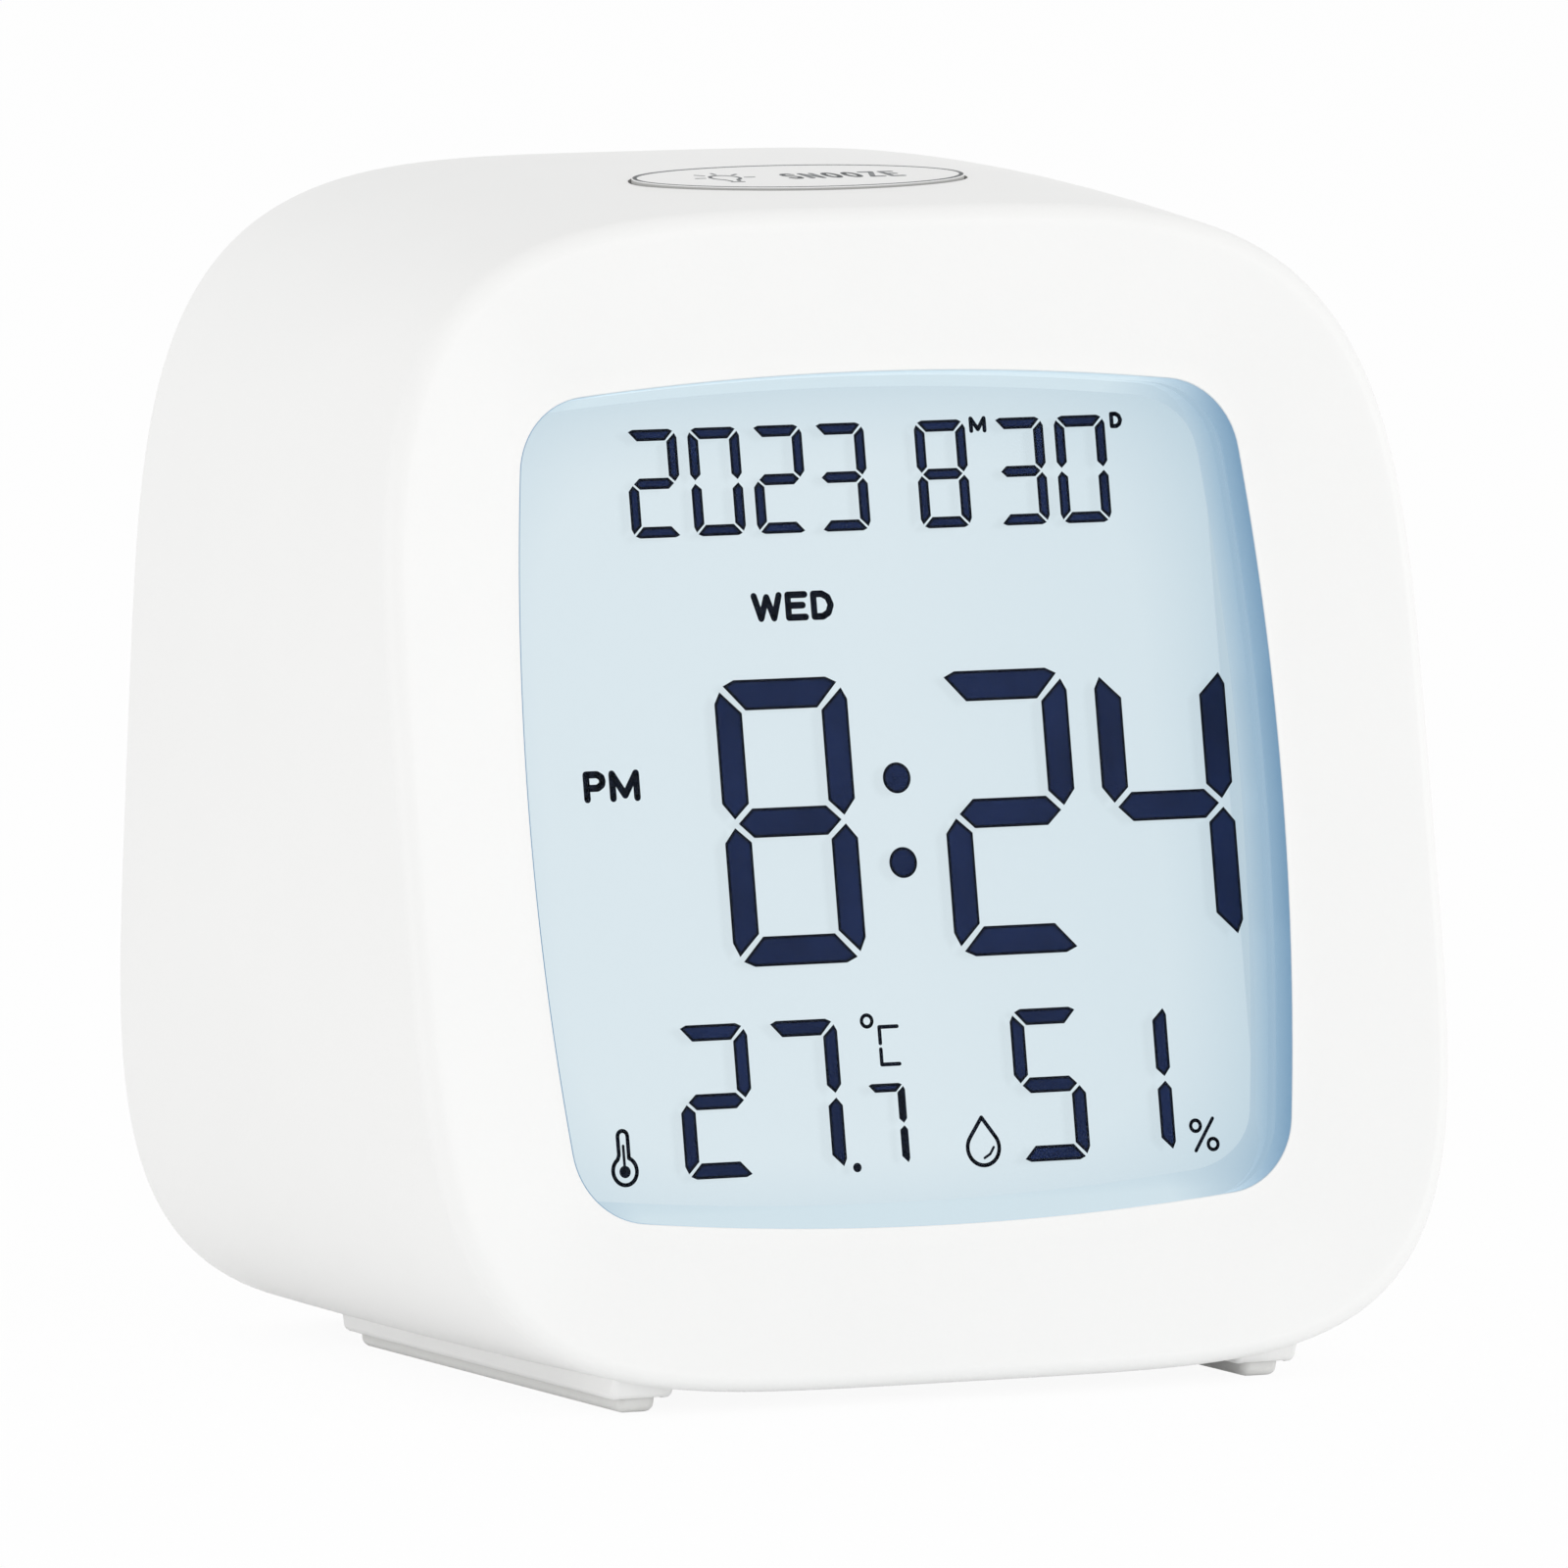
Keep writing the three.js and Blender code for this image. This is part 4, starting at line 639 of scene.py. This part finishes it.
# Segment outlines in shares of the digit's width and height, from its upper left corner
segmentShapes = {
    "a": ((0.072, 0.02), (0.155, 0), (0.845, 0), (0.928, 0.02), (0.77, 0.107), (0.23, 0.107)),
    "f": ((0.043, 0.04), (0.2, 0.116), (0.2, 0.4315), (0.088, 0.485), (0, 0.429), (0, 0.081)),
    "g": ((0.113, 0.5005), (0.222, 0.449), (0.778, 0.449), (0.887, 0.5005), (0.778, 0.552), (0.222, 0.552)),
    "e": ((0.083, 0.515), (0.2, 0.567), (0.2, 0.886), (0.047, 0.963), (0, 0.914), (0, 0.567)),
    "d": ((0.072, 0.981), (0.23, 0.896), (0.77, 0.896), (0.928, 0.981), (0.845, 1), (0.155, 1)),
}
for pair in ("bf", "ce"):
    segmentShapes[pair[0]] = tuple((1 - x, z) for x, z in reversed(segmentShapes[pair[1]]))
litSegments = {"0": "abcdef", "1": "bc", "2": "abged", "3": "abgcd", "4": "fgbc", "5": "afgcd", "7": "abc",
               "8": "abcdefg"}


def digit(sign, left, top, size):
    return [[(left + x * size["width"], top - z * size["height"]) for x, z in segmentShapes[part]]
            for part in litSegments[sign]]


# A line of even width along points, open or closed, as separate quads with round joints
def stroke(path, width, closed=False):
    shapes = []
    pairs = list(zip(path, path[1:] + path[:1])) if closed else list(zip(path, path[1:]))
    for (x1, z1), (x2, z2) in pairs:
        length = math.hypot(x2 - x1, z2 - z1)
        if length < 1e-6:
            continue
        nx, nz = -(z2 - z1) / length * width / 2, (x2 - x1) / length * width / 2
        shapes.append([(x1 + nx, z1 + nz), (x1 - nx, z1 - nz), (x2 - nx, z2 - nz), (x2 + nx, z2 + nz)])
    shapes += [disc(x, z, width / 2, 10) for x, z in path]
    return shapes


letterStrokes = {
    "W": [[(0, 1), (0.24, 0), (0.5, 0.93), (0.76, 0), (1, 1)]],
    "E": [[(1, 1), (0, 1), (0, 0), (1, 0)], [(0, 0.53), (0.86, 0.53)]],
    "D": [[(0, 0), (0, 1), (0.5, 1), (0.84, 0.84), (1, 0.5), (0.84, 0.16), (0.5, 0), (0, 0)]],
    "P": [[(0, 0), (0, 1), (0.68, 1), (0.95, 0.88), (1, 0.73), (0.95, 0.58), (0.68, 0.45), (0, 0.45)]],
    "M": [[(0, 0), (0, 1), (0.5, 0.12), (1, 1), (1, 0)]],
    "O": [[(0.5 + 0.5 * math.cos(i * math.pi / 8), 0.5 + 0.5 * math.sin(i * math.pi / 8)) for i in range(17)]],
    "N": [[(0, 0), (0, 1), (1, 0), (1, 1)]],
    "Z": [[(0, 1), (1, 1), (0, 0), (1, 0)]],
    "A": [[(0, 0), (0.5, 1), (1, 0)], [(0.2, 0.36), (0.8, 0.36)]],
    "L": [[(0, 1), (0, 0), (1, 0)]],
    "S": [[(0.95, 0.85), (0.7, 1), (0.3, 1), (0.05, 0.85), (0.05, 0.65), (0.3, 0.52), (0.7, 0.48), (0.95, 0.35),
           (0.95, 0.15), (0.7, 0), (0.3, 0), (0.05, 0.15)]],
    "U": [[(0, 1), (0, 0.3), (0.15, 0.08), (0.5, 0), (0.85, 0.08), (1, 0.3), (1, 1)]],
}
letterStrokes["R"] = letterStrokes["P"] + [[(0.6, 0.45), (1, 0)]]


def signWidth(sign, width):
    return width * (1.35 if sign in "WM" else 1)


# Letters along x from the left, drawn in lines as wide as their weight
def letters(text, left, low, height, width, gap, weight):
    shapes = []
    for sign in text:
        wide = signWidth(sign, width)
        inner, tall = wide - weight, height - weight
        for path in letterStrokes[sign]:
            shapes += stroke([(left + weight / 2 + x * inner, low + weight / 2 + z * tall) for x, z in path],
                             weight)
        left += wide + gap
    return shapes


def displayMarks():
    digits = []
    for text, lefts, top, size in (
            ("2023", (-15.7, -10.94, -6.16, -1.39), 26.24, dateDigit),
            ("830", (6.4, 12.42, 17.21), 26.21, dateDigit), ("824", (-10.46, 6.45, 18.72), 9, bigDigit),
            ("2751", (-15.38, -8.52, 10.18, 16.83), -14.23, lowDigit), ("7", (-1.22,), -18.83, tenthDigit)):
        for sign, left in zip(text, lefts):
            digits += digit(sign, left, top, size)
    digits += [disc(2.99, 1.9, 1.06), disc(2.98, -3.88, 1.06), disc(-2.34, -24.43, 0.32)]
    small = letters("WED", -7.08, 12.87, 2.01, 1.76, 0.2, 0.47)
    small += letters("PM", -20.85, 1.08, 2.16, 1.71, 0.25, 0.49)
    for sign, left, low in (("M", 10.66, 25.24), ("D", 21.55, 25.23)):
        small += letters(sign, left, low, 1.14, 0.98, 0.1, 0.3)
    for path, width, closed in (
            (disc(-0.76, -14.53, 0.4, 20), 0.25, True),
            ([(1.51, -14.98), (0.15, -14.98), (0.15, -16.09)], 0.27, False),
            ([(0.15, -16.49), (0.15, -17.54), (1.5, -17.54)], 0.27, False),
            (disc(23.88, -22.8, 0.38, 20), 0.25, True),
            (disc(25.14, -24.11, 0.38, 20), 0.25, True), ([(25.24, -22.35), (23.77, -24.51)], 0.25, False)):
        small += stroke(path, width, closed)
    drop = [(7.42, -21.47)]
    for i in range(25):
        t = math.radians(38 - 256 * i / 24)
        drop.append((7.41 + 1.21 * math.cos(t), -23.53 + 1.21 * math.sin(t)))
    small += stroke(drop, 0.28, closed=True)
    small += stroke([(7.44, -24.24), (7.9, -23.98), (8.2, -23.53)], 0.18)
    middle, low = -19.95, -23.85
    stem = [(middle - 0.37, -22.74), (middle - 0.37, -21.49)]
    stem += [(middle - 0.37 * math.cos(math.pi * i / 8), -21.49 + 0.37 * math.sin(math.pi * i / 8))
             for i in range(9)]
    stem += [(middle + 0.37, -22.74)]
    turns = [math.radians(66 - i * 13.2) for i in range(24)]
    bulb = [(middle + 0.9 * math.cos(t), low + 0.95 * math.sin(t)) for t in turns]
    small += stroke(stem + bulb, 0.28, closed=True)
    small += [disc(middle, low - 0.05, 0.42)] + stroke([(middle, low), (middle, -22.14)], 0.2)
    return digits, small


# Flat outlines given a small thickness, as one mesh
def markPiece(name, shapes, depth, thickness, finish, body, slot, place=faceFrame, shift=(0, 0), flat=False):
    points, faces = [], []
    for shape in shapes:
        base, count = len(points), len(shape)
        for at in (depth, depth + thickness):
            points += [(x + shift[0], z + shift[1], at) if flat else (x + shift[0], at, z + shift[1])
                       for x, z in shape]
        faces += [tuple(range(base, base + count)), tuple(range(base + count, base + 2 * count))]
        faces += [(base + i, base + (i + 1) % count, base + (i + 1) % count + count, base + i + count)
                  for i in range(count)]
    return makePiece(name, points, faces, [finish], body, place)


# A shape drawn in by a margin from every side, or grown by a negative one
def drawnIn(shape, by):
    result, count = [], len(shape)
    area = sum(a[0] * b[1] - b[0] * a[1] for a, b in zip(shape, shape[1:] + shape[:1]))
    turn = 1 if area > 0 else -1
    for i in range(count):
        lines = []
        for a, b in ((shape[i - 1], shape[i]), (shape[i], shape[(i + 1) % count])):
            length = math.hypot(b[0] - a[0], b[1] - a[1])
            nx, nz = -turn * (b[1] - a[1]) / length, turn * (b[0] - a[0]) / length
            lines.append((nx, nz, nx * a[0] + nz * a[1] + by))
        (a1, b1, c1), (a2, b2, c2) = lines
        spread = a1 * b2 - a2 * b1
        if abs(spread) < 1e-6:
            result.append((shape[i][0] + a1 * by, shape[i][1] + b1 * by))
        else:
            result.append(((c1 * b2 - c2 * b1) / spread, (a1 * c2 - a2 * c1) / spread))
    return result


def makeDisplayMarks():
    d = displayPlan
    digitShapes, smallShapes = displayMarks()
    cores = [drawnIn(s, d["coreInset"]) for s in digitShapes
             if max(p[0] for p in s) - min(p[0] for p in s) > d["smallestCore"]]
    for name, shapes, place, ink in (("displaySegments", digitShapes, d["segment"], segmentDark),
                                     ("displaySegmentCores", cores, d["core"], segmentNavy),
                                     ("displayLegends", smallShapes, d["segment"], segmentDark)):
        markPiece(name, shapes, *place, ink, "case", "film", shift=d["segmentShift"])
    # Painted shadows of the segments: three darker copies of the lit layer, grown step by step and moved aside
    depth, thickness = d["shade"]
    for step, grow in enumerate((-d["shadeGrow"], 0, d["shadeGrow"])):
        markPiece("segmentShade." + str(step + 1), [drawnIn(s, grow) for s in digitShapes],
                  depth + d["shadeStep"] * (2 - step), thickness, litShades[step], "case", "film",
                  shift=d["shadeShift"])


makeDisplayMarks()
print("display drawn")


# Top key: an oval cap over its flange, with a printed lamp sign and word, and a grey ring of painted shade
# along its edge for the gap around it
def makeTopKey():
    s = topKeyShape
    wide = ovalOutline(s["width"] + 2 * s["flange"], s["depth"] + 2 * s["flange"])
    outline = ovalOutline(s["width"], s["depth"])
    rings = [(wide, s["flangeLow"]), (wide, s["flangeTop"]), (outline, s["flangeTop"])]
    rings += roundedEdge(outline, 0, s["edge"], 5)
    key = platePiece("topKeyCap", rings, [keyPlastic, gapShade], "top_key", crownFrame,
                     flat=True)
    # The cap's sides take the painted gap shade
    paintFaces(key, range(2 * len(outline), 3 * len(outline)))
    evenNormals(key)
    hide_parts("top_key")
    low, radius = s["legendLow"], s["bulbRadius"]
    bulbLine, baseLine, rayLine = s["signLines"]
    signs = letters("SNOOZE", s["wordLeft"], low, s["legendHeight"], 1.24, 0.3, 0.4)
    middle, up = s["signMiddle"], low + 1.35
    turns = [math.radians(i * 20 - 60) for i in range(16)]
    bulb = [(middle + radius * math.cos(t), up + radius * math.sin(t)) for t in turns]
    signs += stroke([(middle - 0.3, low - 0.2), *reversed(bulb), (middle + 0.3, low - 0.2)], bulbLine)
    signs += stroke([(middle - 0.42, low - 0.6), (middle + 0.42, low - 0.6)], baseLine)
    for t in [math.radians(i * 45) for i in range(5)]:
        c, n = math.cos(t), math.sin(t)
        signs += stroke([(middle + 1.55 * c, up + 1.5 * n), (middle + 2.2 * c, up + 2.05 * n)], rayLine)
    # Painted shade: a grey ring just inside the cap's edge, standing in for the shade in the gap
    signs += stroke(shrink(outline, s["edge"] + s["ringInset"]), s["ringLine"], closed=True)
    markPiece("topKeyLegendAndShadeRing", signs, *s["print"], legendGrey, "top_key", "key plastic", crownFrame, flat=True)


makeTopKey()
print("keys made")


# Back of the case, in the rear frame: y points out of the back, and x is mirrored for someone behind it
coverShape = {"lip": 1.15, "inner": -1.2, "outer": -0.78, "edge": 0.25, "ease": 0.22, "cut": -4}
rearKeyShape = {"places": {"key_mode": -21.6, "key_up": -7.2, "key_down": 7.2, "key_alarm": 21.6}, "z": 19,
                "width": 9.04, "height": 5.44, "inner": -2.9, "outer": 0.22, "edge": 0.4, "crown": 0.1,
                "dome": ((1.2, 0.6), (2, 1)), "gap": 0.2, "wordUp": 4.4, "wordHeight": 1.35}
ventShape = {"sound": (-17.5, 2.6), "soundRing": 3.1, "soundRadius": 0.78,
             "slots": (17.5, 2.6), "slotSize": (1.16, 7), "slotPitch": 2.4, "slotCount": 5}
coverScrewShape = {"places": ((-30.9, -26), (30.9, -26), (-28.3, 29.4), (28.3, 29.4)), "recess": 2.2,
                   "head": 2, "seat": -1.7, "top": -0.8, "shank": 1.1, "core": 0.86, "end": -10.6, "pitch": 0.8,
                   "tip": 0.3, "taper": 0.5, "thread": (0.15, 0.4, 0.65), "ease": 0.4, "cross": (2.3, 0.5, 0.6)}
doorShape = {"opening": (51.3, 23.9), "corner": 1.5, "z": -20.6, "arrow": (1.3, 2.4, 4.2), "arrowSunk": -0.9}
printShape = {"sunk": 0.1, "thickness": 0.11, "keySunk": 0.05, "keyThickness": 0.18}


# Cutter through the cover whose outer end is flared, for an eased edge
def easedCutter(outline):
    cut, outer, ease = coverShape["cut"], coverShape["outer"], coverShape["ease"]
    wide = shrink(outline, -ease)
    rings = [(outline, cut), (outline, outer - ease), (shrink(outline, -0.3 * ease), outer - 0.3 * ease),
             (wide, outer), (wide, outer + 2)]
    return platePiece("cutter", rings, [whitePlastic], place=rearFrame)


# Several cutters that don't touch, as one mesh
def gather(cutters):
    work = bmesh.new()
    for cutter in cutters:
        work.from_mesh(cutter.data)
    work.to_mesh(cutters[0].data)
    work.free()
    for cutter in cutters[1:]:
        bpy.data.objects.remove(cutter)
    return cutters[0]


def keyOutline(x, grow=0):
    k = rearKeyShape
    return roundedOutline(k["width"] + grow, k["height"] + grow, k["height"] / 2 - 0.05, x, k["z"], 12)


def makeCoverFace():
    s, v = coverShape, ventShape
    outline = caseOutline("rear", s["lip"])
    face = platePiece("backCoverFace", [(outline, s["inner"])] + roundedEdge(outline, s["outer"], s["edge"], 4),
                      [whitePlastic], "case", rearFrame)
    outlines = [keyOutline(x, 2 * rearKeyShape["gap"]) for x in rearKeyShape["places"].values()]
    (sx, sz), ring, hole = v["sound"], v["soundRing"], v["soundRadius"]
    outlines.append(disc(sx, sz, hole))
    for t in [i * math.pi / 3 for i in range(6)]:
        outlines.append(disc(sx + ring * math.cos(t), sz + ring * math.sin(t), hole))
    sx, sz = v["slots"]
    for i in range(v["slotCount"]):
        outlines.append(roundedOutline(*v["slotSize"], v["slotSize"][0] / 2 - 0.01,
                                       sx + (i - (v["slotCount"] - 1) / 2) * v["slotPitch"], sz))
    outlines += [disc(x, z, coverScrewShape["recess"], 48) for x, z in coverScrewShape["places"]]
    outlines.append(roundedOutline(*doorShape["opening"], doorShape["corner"], 0, doorShape["z"]))
    carve(face, [gather([easedCutter(outline) for outline in outlines])])
    evenNormals(face)


def makeCoverScrews():
    s = coverScrewShape
    for number, (x, z) in enumerate(s["places"]):
        start, ease, (rise, crest, fall) = s["end"] + s["taper"], s["ease"], s["thread"]
        profile = [(s["end"], s["tip"]), (start, s["core"])]
        for i in range(int((s["seat"] - crest - start) / s["pitch"])):
            at = start + i * s["pitch"]
            profile += [(at + rise, s["core"]), (at + crest, s["shank"]), (at + fall, s["core"])]
        profile += [(s["seat"], s["core"]), (s["seat"], s["head"])]
        profile += [(s["top"] - ease * (1 - math.sin(t)), s["head"] - ease * (1 - math.cos(t)))
                    for t in (0, 0.4, 0.8, 1.2, math.pi / 2)]
        rings = [(disc(x, z, radius, 40), at) for at, radius in profile]
        screw = platePiece("coverScrew." + str(number + 1), rings, [steel], "case", rearFrame)
        long, wide, deep = s["cross"]
        carve(screw, [makeBlock("cross", (x - a / 2, s["top"] - deep, z - b / 2), (x + a / 2, 0.5, z + b / 2),
                                rearFrame, steel) for a, b in ((long, wide), (wide, long))])
        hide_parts("back_cover_screw_" + str(number + 1))


def seenFromBehind(shapes, x):
    return [[(x - u, z) for u, z in shape] for shape in shapes]


def centred(text, low, height, width, gap, weight):
    wide = sum(signWidth(sign, width) for sign in text) + gap * (len(text) - 1)
    return letters(text, -wide / 2, low, height, width, gap, weight)


# Triangles, a bell, or a clock face
def keySign(name, z):
    if name in ("key_up", "key_down"):
        way = 1 if name == "key_up" else -1
        return [[(-1.1, z - 0.7 * way), (1.1, z - 0.7 * way), (0, z + 0.9 * way)]]
    if name == "key_alarm":
        bell = [(-1.15, z - 0.75), (-0.8, z - 0.35), (-0.75, z + 0.15)]
        turns = [math.pi * (1 - i / 10) for i in range(11)]
        bell += [(0.75 * math.cos(t), z + 0.2 + 0.75 * math.sin(t)) for t in turns]
        bell += [(0.75, z + 0.15), (0.8, z - 0.35), (1.15, z - 0.75)]
        return stroke(bell, 0.2, closed=True) + [disc(0, z - 1.08, 0.22, 14)]
    hands = stroke([(0, z + 0.55), (0, z), (0.45, z - 0.2)], 0.2)
    return stroke(disc(0, z, 0.95, 24), 0.2, closed=True) + hands


def makeRearKeys():
    k, p = rearKeyShape, printShape
    for name, x in k["places"].items():
        outline = keyOutline(x)
        rings = [(outline, k["inner"])] + roundedEdge(outline, k["outer"], k["edge"], 6)
        rings += [(shrink(outline, inward), k["outer"] + up * k["crown"]) for inward, up in k["dome"]]
        cap = platePiece(name + "_cap", rings, [keyPlastic], name, rearFrame)
        evenNormals(cap)
        markPiece(name + "_sign", seenFromBehind(keySign(name, k["z"]), x), k["outer"] - p["keySunk"],
                  p["keyThickness"], legendGrey, name, "key plastic", rearFrame)
        words = centred(name.split("_")[1].upper(), k["z"] + k["wordUp"], k["wordHeight"], 0.95, 0.28, 0.2)
        markPiece(name + "_word", seenFromBehind(words, x), coverShape["outer"] - p["sunk"], p["thickness"],
                  legendGrey, "case", "white plastic", rearFrame)
    half, tip, base = doorShape["arrow"]
    arrow = [[(-half, doorShape["z"] + base), (0, doorShape["z"] + tip), (half, doorShape["z"] + base)]]
    markPiece("doorArrow", arrow, doorShape["arrowSunk"], p["thickness"], legendGrey, "battery_door",
              "white plastic", rearFrame)


# Cells: a printed sleeve with a pale band, bare ends, and their signs
cellShape = {"radius": 5.25, "y": -8.05, "start": 20.7, "band": (32.5, 42.2), "minus": 5,
             "print": (0.2, 0.22), "signHalf": 1.3, "signLine": 0.5,
             "rows": {"cell_upper": (-15.15, -1), "cell_lower": (-26.05, 1)}}


def makeCells():
    s = cellShape
    low, high = s["band"]
    around = [i / 64 * math.tau for i in range(64)]
    # Place along the cell, radius, and finish from there on
    profile = [(0, 3.4, 1), (0.02, 3.6, 1), (0.02, 4.3, 1), (0.25, 4.6, 1), (0.3, 4.9, 0), (0.6, 5.2, 0),
               (0.9, 5.25, 0), (low, 5.25, 2), (high, 5.25, 0), (42.8, 5.2, 0), (43.1, 4.9, 1), (43.15, 4.4, 1),
               (43.3, 4.2, 1), (43.3, 1.95, 1), (43.45, 1.9, 1), (44.2, 1.9, 1), (44.4, 1.7, 1)]
    for name, (z, side) in s["rows"].items():
        rings = [[(side * (t - s["start"]), s["y"] + r * math.cos(a), z + r * math.sin(a)) for a in around]
                 for t, r, finish in profile]
        cell = skinPiece(name + "_body", rings, [cellSleeve, nickel, cellBand], "case",
                         rearFrame)
        for face in cell.data.polygons:
            ring = face.index // len(around)
            face.material_index = profile[ring][2] if ring < len(profile) - 1 else 1
        plus, minus = side * (sum(s["band"]) / 2 - s["start"]), side * (s["minus"] - s["start"])
        signs, half, (sunk, thickness) = [], s["signHalf"], s["print"]
        for path in ([(plus - half, z), (plus + half, z)], [(plus, z - half), (plus, z + half)],
                     [(minus, z - half), (minus, z + half)]):
            signs += stroke(path, s["signLine"])
        markPiece(name + "_signs", signs, s["y"] + s["radius"] - sunk, thickness, cellInk, "case",
                  "cell sleeve", rearFrame)
        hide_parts(name)


cellSleeve = grainedFinish("cellSleeve", "3A5F86", 0.35)
cellBand = grainedFinish("cellBand", "C4A24E", 0.3, metallic=0.6)
cellInk = grainedFinish("cellInk", "F2F2EE", 0.4)
makeCoverFace()
makeCoverScrews()
makeRearKeys()
makeCells()
print("back, keys and cells made")


# Finishes of the CAD nodes, by a word in the name
nodeFinishes = (
    (steel, ("screw",)), (boardGreen, ("board",)), (lampWhite, ("led",)), (paintedWellShade, ("display_frame",)),
    (sheetClear, ("front_polariser", "lcd_")), (lensClear, ("window_lens",)), (litLayer, ("rear_polariser",)),
    (milkyAcrylic, ("light_guide",)), (whiteFoil, ("reflector",)), (legendGrey, ("contact_strip",)),
    (nickel, ("clock_crystal", "bridge_contact", "terminal")), (innerPlastic, ("climate_sensor",)),
    (blackResin, ("controller_chip", "reservoir_capacitor", "switch", "buzzer")),
    (keyPlastic, ("key_mode", "key_up", "key_down", "key_alarm")), (cellSleeve, ("cell_",)),
)


def finishFor(name):
    for finish, words in nodeFinishes:
        if any(word in name for word in words):
            return finish
    return whitePlastic


for name, node in nodes.items():
    node.data.materials.clear()
    node.data.materials.append(finishFor(name))
print("node finishes set")


# Studio: white floor and surroundings, soft lamps
studio = {"worldStrength": 0.83, "white": (1, 1, 1, 1), "floorShare": 0.93, "floorHalf": 6}


# 1 where the camera looks at it, straight or through gloss or glass
def seenShare(tree):
    path = addNode(tree, "LightPath").outputs
    mirrored = mathNode(tree, "MAXIMUM", path["Is Glossy Ray"], path["Is Transmission Ray"])
    return mathNode(tree, "MAXIMUM", path["Is Camera Ray"], mirrored)


def mixShaders(tree, share, first, second, end):
    mix = addNode(tree, "MixShader", {0: share, 1: first.outputs[0], 2: second.outputs[0]})
    setInputs(tree, end, {"Surface": mix.outputs[0]})


def makeStudio():
    world = bpy.data.worlds.new("studio")
    bpy.context.scene.world = world
    world.use_nodes = True
    tree = world.node_tree
    tree.nodes.clear()
    soft, white = [addNode(tree, "Background", {"Color": studio["white"], "Strength": strength})
                   for strength in (studio["worldStrength"], 1)]
    mixShaders(tree, seenShare(tree), soft, white, addNode(tree, "OutputWorld"))
    mesh = bpy.data.meshes.new("floor")
    half = studio["floorHalf"]
    mesh.from_pydata([(-half, -half, 0), (half, -half, 0), (half, half, 0), (-half, half, 0)], [],
                     [(0, 1, 2, 3)])
    floor = bpy.data.objects.new("floor", mesh)
    bpy.context.scene.collection.objects.link(floor)
    made, tree, shader = newMaterial("floorPaper")
    setInputs(tree, shader, {"Base Color": studio["white"], "Roughness": 0.9, "Specular IOR Level": 0})
    share = mathNode(tree, "MULTIPLY", seenShare(tree), studio["floorShare"])
    mixShaders(tree, share, shader, addNode(tree, "Emission"), tree.nodes["Material Output"])
    made.cycles.emission_sampling = "NONE"
    mesh.materials.append(made)


lamps = {"leftLamp": ((-1.2, -0.4, 0.1), 3.4), "rightLamp": ((1, -0.75, 0.1), 4.2),
         "frontLamp": ((0.2, -1.35, 0.25), 0.75)}
lampSize, lampTarget = 0.9, (0, 0, 0.04)


# Round soft lamps, each with its place in metres and its watts
def makeLamps():
    for name, (place, watts) in lamps.items():
        data = bpy.data.lights.new(name, "AREA")
        data.shape, data.size, data.energy = "DISK", lampSize, watts
        lamp = bpy.data.objects.new(name, data)
        lamp.location = place
        lamp.rotation_mode = "QUATERNION"
        lamp.rotation_quaternion = (Vector(lampTarget) - Vector(place)).to_track_quat("-Z", "Y")
        bpy.context.scene.collection.objects.link(lamp)


makeStudio()
makeLamps()
bpy.context.scene.view_settings.view_transform = "Standard"
print("studio lit")
